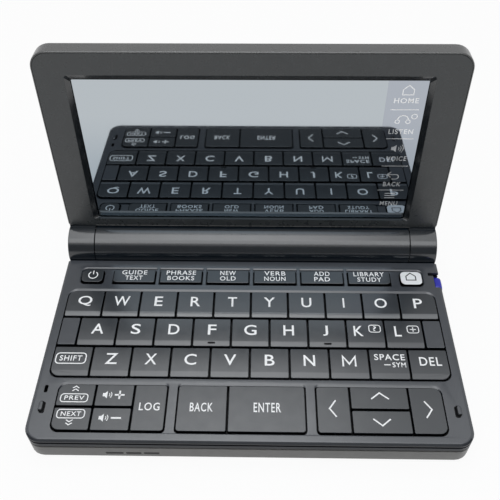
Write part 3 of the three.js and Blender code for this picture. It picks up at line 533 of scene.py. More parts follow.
LEGENDS = {
    "shift": box_outline(-69.5, -58.7, 29.1, 33.4, 1.3, 0.4) + words("SHIFT", -68.1, -60.1, 30.2, 32.4),
    "space": words("SPACE", 44.4, 55.3, 31.7, 34.2) + stroke([(47.6, 29.8), (49.9, 29.8)], 0.4)
    + words("SYM", 50.6, 55.3, 28.8, 30.8),
    "delete": words("DEL", 60.3, 68.1, 29.6, 33.1),
    "heading_previous": chevron(-59.9, 20.0, 0.75) + chevron(-59.9, 18.9, 0.75)
    + box_outline(-64.5, -55.2, 14.0, 17.0) + words("PREV", -63.2, -56.4, 14.75, 16.35),
    "heading_next": chevron(-59.9, 5.5, -0.75) + chevron(-59.9, 6.6, -0.75)
    + box_outline(-64.5, -55.2, 8.0, 11.1) + words("NEXT", -63.2, -56.4, 8.75, 10.4),
    "volume_up": speaker(-50.2, 16.8, 3.1)
    + stroke([(-46.1, 16.8), (-42.7, 16.8)], 0.6) + stroke([(-44.4, 15.2), (-44.4, 18.4)], 0.6),
    "volume_down": speaker(-50.2, 8.2, 3.1) + stroke([(-46.1, 8.2), (-42.7, 8.2)], 0.6),
    "history": words("LOG", -37.2, -30.2, 11.1, 14.0),
    "back": words("BACK", -20.0, -12.2, 10.9, 14.2),
    "enter": words("ENTER", 1.6, 10.8, 10.9, 14.4),
    "cursor_left": stroke([(29.4, 15.6), (27.2, 12.55), (29.4, 9.5)], 0.5),
    "cursor_right": stroke([(59.4, 15.6), (61.6, 12.55), (59.4, 9.5)], 0.5),
    "cursor_up": stroke([(41.6, 16.3), (44.6, 18.6), (47.6, 16.3)], 0.5),
    "cursor_down": stroke([(41.5, 8.9), (44.4, 6.5), (47.3, 8.9)], 0.5),
    "power": power_icon(-62.85, 69.75),
    "home": house(62.85, 68.4, 3.7, 3.5, 0.42),
    "k": box_outline(43.8, 48.0, 43.65, 46.75, 0.9, 0.32) + words("?", 45.3, 46.5, 44.2, 46.2),
    "l": box_outline(57.9, 62.1, 43.45, 46.55, 0.9, 0.32)
    + stroke([(58.9, 45.0), (61.1, 45.0)], 0.35) + stroke([(60.0, 44.0), (60.0, 46.0)], 0.35),
}


def add_key(form, x0, x1, y0, y1, radii, sloped):
    """A key cap with rounded upper edges and, on a letter key, a sloped front. Its walls are black,
    painted shade, and its slope is lighter, a painted highlight.
    """
    crease = y0 + SLOPE if sloped else None

    def top(y):
        if not sloped or y >= crease:
            return KEY_TOP
        return KEY_TOP - SLOPE_DROP * (crease - max(y, y0)) / SLOPE

    def level(inset, drop):
        shrunk = [max(r - inset, 0.05) for r in radii]
        points = outline(x0 + inset, x1 - inset, y0 + inset, y1 - inset, shrunk, KEY_STEPS, crease)
        return [form.verts.new(BASE @ Vector((x, y, top(y) - drop))) for x, y in points]

    rings = [ring(form, outline(x0, x1, y0, y1, radii, KEY_STEPS, crease), KEY_BOTTOM, BASE)]
    for out, up in arc(0, 0, 1, 0, 90, FILLET_STEPS):
        rings.append(level(FILLET * (1 - out), FILLET * (1 - up)))
    bands(form, rings[:2], DARK)
    bands(form, rings[1:])
    face(form, list(reversed(rings[0])), DARK)
    cap = rings[-1]
    if sloped:
        # The crease starts after the two front corners and ends on the ring's last point.
        start = 2 * (KEY_STEPS + 1)
        face(form, [cap[-1]] + cap[: start + 1], SLOPED)
        face(form, cap[start:])
        form.edges.get((cap[start], cap[-1])).smooth = False
    else:
        face(form, cap)


def add_finger_bar(form, x0, x1, y0):
    """The low bar by which a finger finds its key, all black: painted shade."""
    left, right = (x0 + x1) / 2 - BAR_HALF, (x0 + x1) / 2 + BAR_HALF
    rear = y0 + SLOPE - BAR_BACK
    front = rear - BAR_DEPTH
    top = KEY_TOP + BAR_RISE
    soft = BAR_ROUND * 0.3
    rings = []
    for inset, z in ((0, 0), (0, top - BAR_ROUND), (soft, top - soft), (BAR_ROUND, top)):
        radii = [BAR_RADIUS - inset] * 4
        loop = outline(left + inset, right - inset, front + inset, rear - inset, radii)
        rings.append(ring(form, loop, z, BASE))
    bands(form, rings, DARK)
    caps(form, rings, DARK)


def letter(short, x, y):
    """A letter about its middle. The M's legs stand straight, so it is drawn as a line."""
    half = LETTER_WIDTHS[short] / 2
    if short == "m":
        low, high, dip = y - LETTER_RISE, y + 1.85, y - 1.25
        line = [(x - half, low), (x - half, high), (x, dip), (x + half, high), (x + half, low)]
        return stroke(line, 0.62)
    low = y - LETTER_RISE - TAIL.get(short, 0)
    return words(short.upper(), x - half, x + half, low, y + LETTER_RISE)


def legend(short, x0, x1, y0, y1):
    shapes = list(LEGENDS.get(short, []))
    x = (x0 + x1) / 2
    if short in LETTER_WIDTHS:
        shapes += letter(short, LETTER_PLACES.get(short, x), (y0 + SLOPE + y1) / 2)
    for line, (text, width) in enumerate(FUNCTION_WORDS.get(short, [])):
        y = FUNCTION_LINE - FUNCTION_LEADING * line
        shapes += words(text, x - width / 2, x + width / 2, y, y + FUNCTION_HEIGHT)
    return shapes


def build_keys():
    for name in [n for n in nodes if n.startswith("key_") and n != "key_mat"]:
        short = name.removeprefix("key_")
        x0, x1, y0, y1 = extent(name)
        form = bmesh.new()
        sloped = short in LETTER_WIDTHS or short in ("shift", "space", "delete")
        add_key(form, x0, x1, y0, y1, CORNERS.get(short, [TIGHT] * 4), sloped)
        if short in ("f", "j"):
            add_finger_bar(form, x0, x1, y0)
        lay(form, legend(short, x0, x1, y0, y1), KEY_TOP + FILM, BASE, PRINT)
        home = short == "home"
        skins = [home_plastic, print_dark] if home else [key_plastic, print_white]
        # The rear letter row's slopes take the brighter painted highlight.
        slope = rear_slope_highlight if short in REAR_ROW else key_slope
        finished(name + "_cap", form, name, skins + [black_print_and_shade, slope],
                 [name])


# Deck

CORNER = 5.5
DECK_REAR = 77.62
DECK_STEPS = 8
PLATE_BOTTOM = -1.8
SKIRT_INSET = 1.4
SKIRT_REAR = 76.25
NOTCH_FRONT, NOTCH_REAR = 65.25, 72.55
NOTCH_SIDE, NOTCH_END = 71.95, 69.95
NOTCH_POCKET = 1.5
NOTCH_BREAK = 0.25
# The bevel behind this stretch from the front and above this height is plain deck plastic. In front of
# it, the bevel takes the rim's painted shade.
BEVEL_BOTTOM = -0.45
FRONT_STRETCH = 2.5

WELL_GAP = 0.48
WELL_FRONT = 0.25
WELL_BEVEL = 0.8
WELL_BEVEL_DROP = 0.4
# The first key gives a well's left and front, and the last its right and rear.
WELLS = [
    ("key_shift", "key_p", [3, 3, 3, 3]),
    ("key_heading_next", "key_history", [2.6, 1, 1, 2.6]),
    ("key_back", "key_enter", [1, 1, 1, 1]),
    ("key_cursor_left", "key_cursor_right", [1, 2.6, 2.6, 1]),
]

CHANNEL_DEPTH = 0.6
CHANNEL_SIDE, CHANNEL_END = 0.9, 0.7
END_RADIUS, RIB_RADIUS = 2.2, 0.25
RIB_HALF = 0.55
HOLE_FRONT, HOLE_GAP = 1.05, 0.42

SLOT = (-71.0, -69.75, 17.7, 20.6)
PAD_X, PAD_Y = 70.6, 12.4
PAD_HALF_WIDTH, PAD_HALF_LENGTH = 1.0, 2.0
# From here the pad's sides turn near black, and the black crescent is laid around it: both painted shade.
PAD_DARK_SIDE, PAD_DARK_FRONT = 0.35, -1.35
CRESCENT_HALF = 0.7
CRESCENT_FRONT, CRESCENT_REAR = 9.85, 14.1

# The skins of the deck beside SKIN and DARK. DARK, the black of the holes, groove and crescents, and the
# darker rim are all painted shade.
BLACK_SHADE, RIM = 1, 3


def deck_outline(inset, rear, grow=0.0):
    """The deck's edge with the stylus notch in its right side."""
    side = HALF - inset
    radius = CORNER - inset
    points = outline(-side, side, inset, rear, [radius, radius, 0.25, 0.25], DECK_STEPS)
    front, back = NOTCH_FRONT - grow, NOTCH_REAR + grow
    near, far = NOTCH_SIDE - grow, NOTCH_END - grow
    step = NOTCH_REAR - NOTCH_POCKET - grow
    broken = far + NOTCH_BREAK
    notch = [(side, front), (near, front), (near, step), (broken, step), (far, step + NOTCH_BREAK),
             (far, back - NOTCH_BREAK), (broken, back), (side, back)]
    corners = 2 * (DECK_STEPS + 1)
    return points[:corners] + notch + points[corners:]


def add_edge(form):
    """The rim and skirt. Its walls are a darker copy of the deck plastic and its groove is black, both
    painted shade; the bevel takes the same painted shade at the front alone. Returns the upper and lower
    loops.
    """
    edge = [
        (1.20, 0, 77.48), (1.02, -0.015, 77.56), (0.85, -0.055, 77.60), (0.68, -0.12, DECK_REAR),
        (0.12, -0.44, DECK_REAR), (0.03, -0.50, DECK_REAR), (0, -0.60, DECK_REAR),
        (0, -1.33, DECK_REAR), (0.06, -1.40, DECK_REAR), (0.60, -1.42, DECK_REAR),
        (0.60, -2.18, DECK_REAR), (0.06, -2.20, DECK_REAR), (0, -2.27, DECK_REAR),
        (0, -3.72, DECK_REAR), (0.08, -SKIRT_DEPTH, DECK_REAR),
    ]
    rings = [ring(form, deck_outline(inset, rear), z, BASE) for inset, z, rear in edge]
    for z in (-SKIRT_DEPTH, PLATE_BOTTOM):
        rings.append(ring(form, deck_outline(SKIRT_INSET, SKIRT_REAR, 0.3), z, BASE))
    for start, end, skin in ((0, 3, SKIN), (3, 8, RIM), (8, 11, BLACK_SHADE), (11, 12, SKIN), (12, 16, RIM)):
        bands(form, rings[start:end + 1], skin)
    for part in form.faces:
        middle = BASE.inverted() @ part.calc_center_median()
        if part.material_index == RIM and middle.z > BEVEL_BOTTOM and middle.y > FRONT_STRETCH:
            part.material_index = SKIN
    return rings[0], rings[-1]


def add_well(form, first, last, radii):
    """A well through the deck with a sloped rear edge; its walls below the slope are black, painted
    shade. Returns its upper and its lower loop.
    """
    x0, x1 = extent(first)[0], extent(last)[1]
    y0, y1 = extent(first)[2], extent(last)[3]
    rings = []
    for grow, rear, z in ((0.1, WELL_BEVEL, 0), (0.03, WELL_BEVEL - 0.02, -0.03), (0, 0.55, -0.11),
                          (0, 0, -WELL_BEVEL_DROP), (0, 0, PLATE_BOTTOM)):
        gap = WELL_GAP + grow
        loop = outline(x0 - gap, x1 + gap, y0 - gap - WELL_FRONT, y1 + gap + rear,
                       [radius + gap for radius in radii])
        rings.append(ring(form, loop, z, BASE))
    bands(form, rings[:4])
    bands(form, rings[3:], BLACK_SHADE)
    return rings[0], rings[-1]


def add_channel(form, upper, lower):
    """The sunk channel of the narrow keys, in six pockets between ribs, with a hole for each key whose
    walls are black, painted shade.
    """
    power, home = extent("key_power"), extent("key_home")
    functions = [extent("key_function_%d" % i) for i in range(1, 7)]
    ribs = [(a[1] + b[0]) / 2 for a, b in zip(functions, functions[1:])]
    starts = [power[0] - CHANNEL_END] + [x + RIB_HALF for x in ribs]
    ends = [x - RIB_HALF for x in ribs] + [home[1] + CHANNEL_END]
    inside = [[power, functions[0]]] + [[f] for f in functions[1:5]] + [[functions[5], home]]
    y0, y1 = power[2] - CHANNEL_SIDE, power[3] + CHANNEL_SIDE
    for x0, x1, held in zip(starts, ends, inside):
        left = END_RADIUS if power in held else RIB_RADIUS
        right = END_RADIUS if home in held else RIB_RADIUS
        rings = []
        for grow, back, z in ((0.09, 0.5, 0), (0.03, 0.47, -0.02), (0, 0.38, -0.07), (0, 0, -0.26),
                              (0, 0, -CHANNEL_DEPTH)):
            radii = [left + grow, right + grow, right + grow, left + grow]
            loop = outline(x0 - grow, x1 + grow, y0 - grow, y1 + grow + back, radii)
            rings.append(ring(form, loop, z, BASE))
        bands(form, rings)
        upper.append(rings[0])
        floor = [rings[-1]]
        for key in held:
            radius, gap = (END_RADIUS, WELL_GAP) if key in (power, home) else (1.0, HOLE_GAP)
            loop = outline(key[0] - gap, key[1] + gap, key[2] - HOLE_FRONT, key[3] + gap, [radius] * 4)
            hole = [ring(form, loop, z, BASE) for z in (-CHANNEL_DEPTH, PLATE_BOTTOM)]
            bands(form, hole, BLACK_SHADE)
            floor.append(hole[0])
            lower.append(hole[1])
        flat(form, floor)


def add_pad(form, side):
    """A soft pad with a well rounded top. Its inner side and front are near black, and it stands over
    a flat black crescent laid on the deck: both painted shade."""
    x, inner = side * PAD_X, -side
    for shift, z in ((0.25, 0.01), (0.70, 0.0145)):
        middle = x + shift * inner
        crescent = outline(middle - CRESCENT_HALF, middle + CRESCENT_HALF, CRESCENT_FRONT, CRESCENT_REAR,
                           [CRESCENT_HALF] * 4)
        face(form, ring(form, crescent, z, BASE), BLACK_SHADE)
    rings = []
    for shrink, z in ((0, -0.1), (0, 0.12), (0.06, 0.28), (0.18, 0.42), (0.36, 0.52), (0.6, 0.57)):
        half_x, half_y = PAD_HALF_WIDTH - shrink, PAD_HALF_LENGTH - shrink
        loop = outline(x - half_x, x + half_x, PAD_Y - half_y, PAD_Y + half_y, [half_x * 0.98] * 4)
        rings.append(ring(form, loop, z, BASE))
    bands(form, rings)
    caps(form, rings)
    for lower in rings[:-1]:
        for part in {part for vert in lower for part in vert.link_faces}:
            middle = BASE.inverted() @ part.calc_center_median()
            if (middle.x - x) * inner > PAD_DARK_SIDE or middle.y - PAD_Y < PAD_DARK_FRONT:
                part.material_index = DARK


def add_blank_keys(form):
    """The fixed blank caps at both ends of the middle letter row, with near black walls as painted shade.
    """
    front, rear = extent("key_a")[2:]
    outer, inner = extent("key_p")[1], extent("key_l")[1] + KEY_GAP
    for x0, x1 in ((-outer, -inner), (inner, outer)):
        add_key(form, x0, x1, front, rear, [TIGHT] * 4, False)


def build_deck():
    form = bmesh.new()
    upper, lower = [[loop] for loop in add_edge(form)]
    for well in WELLS:
        top, bottom = add_well(form, *well)
        upper.append(top)
        lower.append(bottom)
    add_channel(form, upper, lower)
    # The slot's walls are black: painted shade.
    slot = [ring(form, outline(*SLOT, [0.5] * 4), z, BASE) for z in (0, -0.3, PLATE_BOTTOM)]
    bands(form, slot, BLACK_SHADE)
    upper.append(slot[0])
    lower.append(slot[-1])
    flat(form, upper)
    flat(form, lower)
    for side in (-1, 1):
        add_pad(form, side)
    add_blank_keys(form)
    finished("deck_top", form, "base", [deck_plastic, black_print_and_shade, side_shade, rim_shade],
             ["keyboard_deck"])


# Lid

LID_BOTTOM, LID_TOP = 9.3, 87.15
LID_STEPS = 8
FACE = -0.22
GLASS = FACE - 2.4
BACK = FACE - 6.7
BEZEL_BACK = FACE - 1.5
WINDOW_MIDDLE = -0.55
GLASS_HALF = 61.4
GLASS_LOW, GLASS_HIGH = 12.65, 76.35
CHAMFER_BOTTOM = FACE - 1.1
DISPLAY_BACK = GLASS - 2.1
DISPLAY_LOW = 12.3
DISPLAY_MARGIN = 2.4
STRIP_START = 46.8
CAP_INNER, CAP_OUTER = 63.4, 74.0
CAP_SHOULDER = 9.8
BARREL = 9.0

# The display's front sheet comes nearer to the frame by this share of its height.
GLASS_TILT = 0.015
SHEET = LID @ Matrix((
    (1, 0, 0, 0), (0, 1, 0, 0), (0, GLASS_TILT, 1, -GLASS_TILT * GLASS_LOW), (0, 0, 0, 1),
))


def lid_outline(inset):
    side = HALF - inset
    low, high = max(1.5 - inset, 0.3), 6.3 - inset
    return outline(-side, side, LID_BOTTOM + inset, LID_TOP - inset, [low, low, high, high], LID_STEPS)


def window_outline(side, low, high, radius=1.2):
    """The display's visible part, moved out by these margins."""
    return outline(WINDOW_MIDDLE - GLASS_HALF - side, WINDOW_MIDDLE + GLASS_HALF + side,
                   GLASS_LOW + low, GLASS_HIGH + high, [radius] * 4, LID_STEPS)


def build_bezel():
    form = bmesh.new()
    tongue = FACE - 4.3
    edge = [
        (0.80, FACE), (0.70, FACE - 0.02), (0.63, FACE - 0.07), (0.60, FACE - 0.15), (0.60, BEZEL_BACK),
        (1.5, BEZEL_BACK), (1.5, tongue), (2.7, tongue), (2.7, BEZEL_BACK),
    ]
    rings = [ring(form, lid_outline(inset), z, LID) for inset, z in edge]
    bands(form, rings)
    skirt = FACE - 2.1
    window = [
        (window_outline(1.2, -0.45, 1.2, 2.4), BEZEL_BACK), (window_outline(1.2, -0.45, 1.2, 2.4), skirt),
        (window_outline(0, 0, 0), skirt), (window_outline(0, 0.70, 0), CHAMFER_BOTTOM),
        (window_outline(0.04, 0.72, 0.04), CHAMFER_BOTTOM + 0.03),
        (window_outline(1.66, 0.72, 1.88), FACE - 0.05), (window_outline(1.74, 0.72, 1.96), FACE - 0.015),
        (window_outline(1.84, 0.62, 2.07), FACE),
    ]
    inner = [ring(form, points, z, LID) for points, z in window]
    bands(form, inner[:3])
    bands(form, inner[2:6], SECOND)
    bands(form, inner[5:])
    flat(form, [rings[-1], inner[0]])
    flat(form, [rings[0], inner[-1]])
    finished("bezel_plate", form, "lid", [bezel_plastic, chamfer_plastic],
             ["lid_bezel"])


def cap_section(shrink):
    """The end cap's outline across the hinge: round, with a shoulder that runs into the lid."""
    radius = BARREL - shrink
    face_up = FACE - shrink
    back_up = BACK + shrink
    start = math.degrees(math.acos(back_up / radius))
    end = math.degrees(math.acos(face_up / radius)) + 360
    turned = [(up, out) for out, up in arc(0, 0, radius, start, end, 48)]
    return [(CAP_SHOULDER, face_up), (CAP_SHOULDER, back_up)] + turned


def build_cover():
    """The lid's rear shell: a tray with a rounded back, and the two end caps of the hinge."""
    form = bmesh.new()
    floor = DISPLAY_BACK - 0.3
    shelf = FACE - 1.8
    quarter = arc(0, 0, 1, 0, 90, 5)
    edge = [(1 - up, BACK + 1 - out) for out, up in quarter]
    edge += [(0.48 * (1 - out), FACE - 0.52 * (1 - up)) for out, up in quarter]
    edge += [(0.5, FACE - 0.03), (0.5, shelf), (1.2, shelf), (1.2, floor)]
    rings = [ring(form, lid_outline(inset), z, LID) for inset, z in edge]
    bands(form, rings)
    flat(form, [rings[0]])
    flat(form, [rings[-1]])
    for side in (-1, 1):
        loops = []
        for x, shrink in ((CAP_INNER, 0.15), (CAP_INNER + 0.05, 0.05), (CAP_INNER + 0.15, 0),
                          (CAP_OUTER - 0.35, 0), (CAP_OUTER - 0.1, 0.1), (CAP_OUTER, 0.35)):
            loops.append(cross_ring(form, cap_section(shrink), side * x, LID))
        bands(form, loops, SECOND)
        caps(form, loops, SECOND)
    finished("cover_shell", form, "lid", [cover_plastic, barrel_plastic],
             ["lid_cover"], 30)


def build_display():
    """The display, whose front sheet comes a little nearer to the frame towards the top."""
    form = bmesh.new()
    left = WINDOW_MIDDLE - GLASS_HALF - DISPLAY_MARGIN
    right = WINDOW_MIDDLE + GLASS_HALF + DISPLAY_MARGIN
    low, high = DISPLAY_LOW, GLASS_HIGH + DISPLAY_MARGIN
    rings = []
    for inset, z in ((0.1, DISPLAY_BACK), (0, DISPLAY_BACK + 0.1), (0, GLASS - 0.1), (0.1, GLASS)):
        radii = [1 - inset] * 4
        loop = outline(left + inset, right - inset, low + inset, high - inset, radii, LID_STEPS)
        rings.append(ring(form, loop, z, LID))
    for place in (LID, SHEET):
        rings.append(ring(form, window_outline(-0.05, 0.05, -0.05), GLASS + FILM, place))
    bands(form, rings)
    caps(form, rings)
    finished("display_block", form, "lid", [screen_glass], ["display_module"])


def build_display_print():
    """The black border, the touch strip and its icons, each a film over the one below."""
    form = bmesh.new()
    outer = ring(form, window_outline(-0.06, 0.06, -0.06), GLASS + 2 * FILM, SHEET)
    inner = ring(form, window_outline(-0.2, 0.1, -0.45, 0.4), GLASS + 2 * FILM, SHEET)
    flat(form, [outer, inner])
    x0, x1 = STRIP_START, WINDOW_MIDDLE + GLASS_HALF - 0.2
    low, high = GLASS_LOW + 0.1, GLASS_HIGH - 0.45
    lay(form, [[(x0, low), (x1, low), (x1, high), (x0, high)]], GLASS + 1.8 * FILM, SHEET, SECOND)
    lay(form, strip_icons(), GLASS + 3 * FILM, SHEET, 2)
    finished("display_print", form, "lid", [black_print_and_shade, strip_glass, icon_print])


def strip_icons():
    x, line = 53.8, 0.34
    shapes = house(x + 0.3, 70.3, 3.8, 3.8, line) + words("HOME", x - 4.2, x + 4.4, 66.9, 69.0)
    shapes += stroke(arc(x, 59.9, 1.9, 10, 170), line)
    for side in (-1, 1):
        shapes += stroke(circle(x + side * 1.9, 59.2, 0.8), 0.32, True)
    shapes += stroke(circle(x + 3.9, 61.4, 1.0), 0.3, True)
    shapes += words("LISTEN", x - 4.4, x + 4.4, 53.8, 55.9)
    shapes += speaker(x - 2.4, 47.3, 3.6, 3) + words("VOICE", x - 3.6, x + 3.8, 41.6, 43.7)
    shapes += stroke([(x - 0.9, 36.3), (x - 2.3, 35.0), (x - 0.9, 33.7)], line)
    shapes += stroke([(x - 2.3, 35.0)] + arc(x + 1.0, 33.9, 1.1, 90, -90, 8) + [(x - 0.6, 32.8)], line)
    shapes += words("BACK", x - 3.3, x + 3.4, 29.2, 31.3)
    for y in (25.6, 24.5, 23.4):
        shapes += stroke([(x - 2.0, y), (x + 2.0, y)], line)
    shapes += words("MENU", x - 3.3, x + 3.5, 19.4, 21.5)
    for y in (64.2, 51.7, 39.1, 27.3):
        shapes += stroke([(x - 4.9, y), (x + 5.0, y)], 0.3)
    return shapes


# Case, barrel, cells and stylus

BARREL_REACH = BARREL + 0.15
BARREL_END = 74.1
BARREL_HALF = CAP_INNER - 0.3
COVER_THICKNESS = 1.4
RIB_COUNT = 5
RIB_ANGLE = 9
RIB_LENGTH = 12

SLIT_START = 26.75
SLIT_LENGTHS = (5.6, 4.8, 4.8)
SLIT_GAP = 1.2
# The black films of painted shade over the slits run between these heights and past the slits' ends by
# the overlap.
SLIT_LOW, SLIT_HIGH = -8.75, -7.45
SLIT_OVERLAP = 0.2
FOOT_X = (-58, 58)
FOOT_Y = (12, 77)

PEN_WIDTH, PEN_HEIGHT = 5.4, 2.85
HEAD_WIDTH, HEAD_LENGTH = 6.9, 3.05


def on_barrel(centre):
    y = (centre.y - base_zero.y) / MM - AXIS[0]
    z = (centre.z - base_zero.z) / MM - AXIS[1]
    near = math.hypot(y, z) < BARREL_REACH and abs(centre.x) / MM < BARREL_END
    return SECOND if near else SKIN


def arc_shell(form, x0, x1, start, end, outer, inner, steps=72):
    """A curved plate about the hinge axis, from one angle to another, with broken end edges."""
    soft = 0.14
    rings = []
    for x, top in ((x0, outer - soft), (x0 + soft * 0.3, outer - soft * 0.3), (x0 + soft, outer),
                   (x1 - soft, outer), (x1 - soft * 0.3, outer - soft * 0.3), (x1, outer - soft)):
        loop = arc(*AXIS, top, start, end, steps) + arc(*AXIS, inner, end, start, steps)
        rings.append(cross_ring(form, loop, x, BASE))
    bands(form, rings)
    for ends in (rings[0], rings[-1]):
        last = len(ends) - 1
        for i in range(steps):
            face(form, [ends[i], ends[i + 1], ends[last - 1 - i], ends[last - i]])


def build_barrel():
    """The front skin of the hinge barrel, and the battery cover with its grip ribs behind."""
    form = bmesh.new()
    arc_shell(form, -BARREL_HALF, BARREL_HALF, 78.1, 281.9, BARREL + 0.012, BARREL - 0.3)
    finished("barrel_skin", form, "base", [barrel_plastic], sharp=30)
    x0, x1 = extent("battery_cover")[:2]
    form = bmesh.new()
    arc_shell(form, x0, x1, -76, 76, BARREL, BARREL - COVER_THICKNESS)
    left, right = (x0 + x1 - RIB_LENGTH) / 2, (x0 + x1 + RIB_LENGTH) / 2
    half = math.degrees(0.4 / BARREL)
    for i in range(RIB_COUNT):
        angle = RIB_ANGLE * (i - (RIB_COUNT - 1) / 2)
        arc_shell(form, left, right, angle - half, angle + half, BARREL + 0.35, BARREL - 0.2, 4)
    finished("battery_cover_plate", form, "battery_cover", [barrel_plastic],
             ["battery_cover"], 30)


def build_slits():
    """Black films over the three sound slits in the front wall, reaching past them: painted shade in and
    round their mouths.
    """
    form = bmesh.new()
    wall = BASE @ Matrix.Translation((0, -0.015, 0)) @ Matrix.Rotation(math.pi / 2, 4, "X")
    x = -HALF + SLIT_START
    for length in SLIT_LENGTHS:
        mouth = outline(x - SLIT_OVERLAP, x + length + SLIT_OVERLAP, SLIT_LOW, SLIT_HIGH, [0.5] * 4)
        face(form, ring(form, mouth, 0, wall))
        x += length + SLIT_GAP
    finished("slit_shade", form, "base", [black_print_and_shade])


def build_feet():
    form = bmesh.new()
    for x in FOOT_X:
        for y in FOOT_Y:
            rings = [ring(form, circle(x, y, radius, 32), z, BASE)
                     for radius, z in ((3.3, -11.5), (3.52, -11.4), (3.55, -11.1), (3.55, -11.02))]
            bands(form, rings)
            caps(form, rings)
    finished("foot_pads", form, "base", [mat_rubber])


def build_cell(name, sleeve):
    """A cell in its sleeve, with bare steel ends and a raised contact."""
    start, end = extent(name)[:2]
    profile = [
        (5.2, start), (5.5, start + 0.15), (6.9, start + 0.15), (7.2, start + 0.3), (7.25, start + 0.6),
        (7.25, end - 1.9), (7.1, end - 1.4), (6.3, end - 1.25), (6.2, end - 1.5), (3.0, end - 1.5),
        (2.75, end - 1.3), (2.75, end - 0.2), (2.5, end),
    ]
    form = bmesh.new()
    rings = [cross_ring(form, circle(*AXIS, radius, 48), x, BASE) for radius, x in profile]
    bands(form, rings[:4], SECOND)
    bands(form, rings[3:8])
    bands(form, rings[7:], SECOND)
    caps(form, rings, SECOND)
    finished(name + "_can", form, "base", [sleeve, steel], [name])


def build_stylus():
    """The pen with its pointed tip, and its thick rounded head."""
    form = bmesh.new()
    low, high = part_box("stylus")
    start, end = low.x / MM, high.x / MM
    y = ((low.y + high.y) / 2 - base_zero.y) / MM
    bottom, top = (low.z - base_zero.z) / MM, (high.z - base_zero.z) / MM
    neck = end - HEAD_LENGTH

    def section(x, width, height, z, radius):
        loop = outline(y - width / 2, y + width / 2, z - height / 2, z + height / 2, [radius] * 4, 5)
        return cross_ring(form, loop, x, BASE)

    middle = bottom + PEN_HEIGHT / 2
    pen = [section(x, width, height, middle, radius) for x, width, height, radius in (
        (start, 1.0, 1.0, 0.45), (start + 0.4, 1.6, 1.6, 0.7), (start + 3, 2.6, 1.9, 0.8),
        (start + 9, PEN_WIDTH, PEN_HEIGHT, 1.2), (end - 2.9, PEN_WIDTH, PEN_HEIGHT, 1.2),
    )]
    width, height, middle = HEAD_WIDTH, top - bottom, (top + bottom) / 2
    head = [section(neck + x, width * share, height * share, middle, 1.9 * share) for x, share in (
        (0, 0.94), (0.15, 0.985), (0.4, 1.0), (1.5, 1.0), (2.2, 0.97), (2.6, 0.91), (2.85, 0.82),
        (3.0, 0.68), (HEAD_LENGTH, 0.5),
    )]
    for rings in (pen, head):
        bands(form, rings)
        caps(form, rings)
    finished("stylus_pen", form, "stylus", [pen_plastic], ["stylus"], 50)


build_keys()
build_deck()
build_bezel()
build_cover()
build_display()
build_display_print()
build_slits()
build_feet()
cell_skin = cell_sleeve()
for cell in ("battery_left", "battery_right"):
    build_cell(cell, cell_skin)
rounded_copy("bottom_case", [case_plastic, barrel_plastic], "base", on_barrel)
build_barrel()
build_stylus()
rounded_copy("friction_hinge", [steel], "base")

for node, material in (("key_mat", mat_rubber), ("main_board", board_skin())):
    nodes[node].data.materials.clear()
    nodes[node].data.materials.append(material)


# Room, light and camera, whose sizes and places are in metres

FLOOR_SIZE = 3.0
FLOOR_GLOW = 0.92
AMBIENT = 0.30
# The room's dimmer tones, and the heights and depths of a direction between which they change
SHADE = 0.25
SHADE_HEIGHT = (0.54, 0.66)
SHADE_DEPTH = (-0.45, -0.15)
BEHIND = 0.72
BEHIND_DEPTH = (0.44, 0.54)

# One lamp overhead in five layers, brightest in the middle: left, right and radiance.
OVERHEAD = [
    (-0.47, 0.47, 0.80), (-0.42, 0.21, 0.60), (-0.30, 0.17, 0.50), (-0.235, 0.12, 0.45),
    (-0.15, 0.04, 0.40),
]
OVERHEAD_DEPTH = 0.865
OVERHEAD_Y = 0.0725
OVERHEAD_HEIGHT = 0.9
LAYER_GAP = 0.001
FRONT_PLACE = (-0.02, -0.52, 0.87)
FRONT_TARGET = (-0.02, 0, 0.03)
FRONT_SIZE = (1.0, 0.36)
FRONT_RADIANCE = 2.05
LAMP_COLOR = (0.96, 0.98, 1.0)

# The camera's base place in millimetres, and its turn about x, y and z in degrees
CAMERA_PLACE = (3.656, -101.859, 210.042)
CAMERA_TURN = (43.9, 0.387, 0.919)


def seen_rays(tree):
    """One for rays from the camera, from gloss and through glass, and zero for the rest."""
    rays = tree.nodes.new("ShaderNodeLightPath").outputs
    seen = arithmetic(tree, "MAXIMUM", rays["Is Camera Ray"], rays["Is Glossy Ray"])
    return arithmetic(tree, "MAXIMUM", seen, rays["Is Transmission Ray"])


def build_floor():
    form = bmesh.new()
    bmesh.ops.create_grid(form, x_segments=8, y_segments=8, size=FLOOR_SIZE)
    mesh = bpy.data.meshes.new("floor")
    form.to_mesh(mesh)
    form.free()
    floor = bpy.data.objects.new("floor", mesh)
    bpy.context.scene.collection.objects.link(floor)
    floor.location.z = -0.0001
    made, tree, surface = shader("floor_paper")
    stops = [(NOISE_LOW, (0.86, 0.86, 0.86)), (NOISE_HIGH, (0.88, 0.88, 0.88))]
    tree.links.new(ramp(tree, noise(tree, scale=3), stops), surface.inputs["Base Color"])
    surface.inputs["Roughness"].default_value = 0.8
    surface.inputs["Specular IOR Level"].default_value = 0.0
    glow = tree.nodes.new("ShaderNodeEmission")
    mixed = tree.nodes.new("ShaderNodeMixShader")
    out = next(node for node in tree.nodes if node.type == "OUTPUT_MATERIAL")
    tree.links.new(arithmetic(tree, "MULTIPLY", seen_rays(tree), FLOOR_GLOW), mixed.inputs["Fac"])
    tree.links.new(surface.outputs["BSDF"], mixed.inputs[1])
    tree.links.new(glow.outputs["Emission"], mixed.inputs[2])
    tree.links.new(mixed.outputs["Shader"], out.inputs["Surface"])
    mesh.materials.append(made)


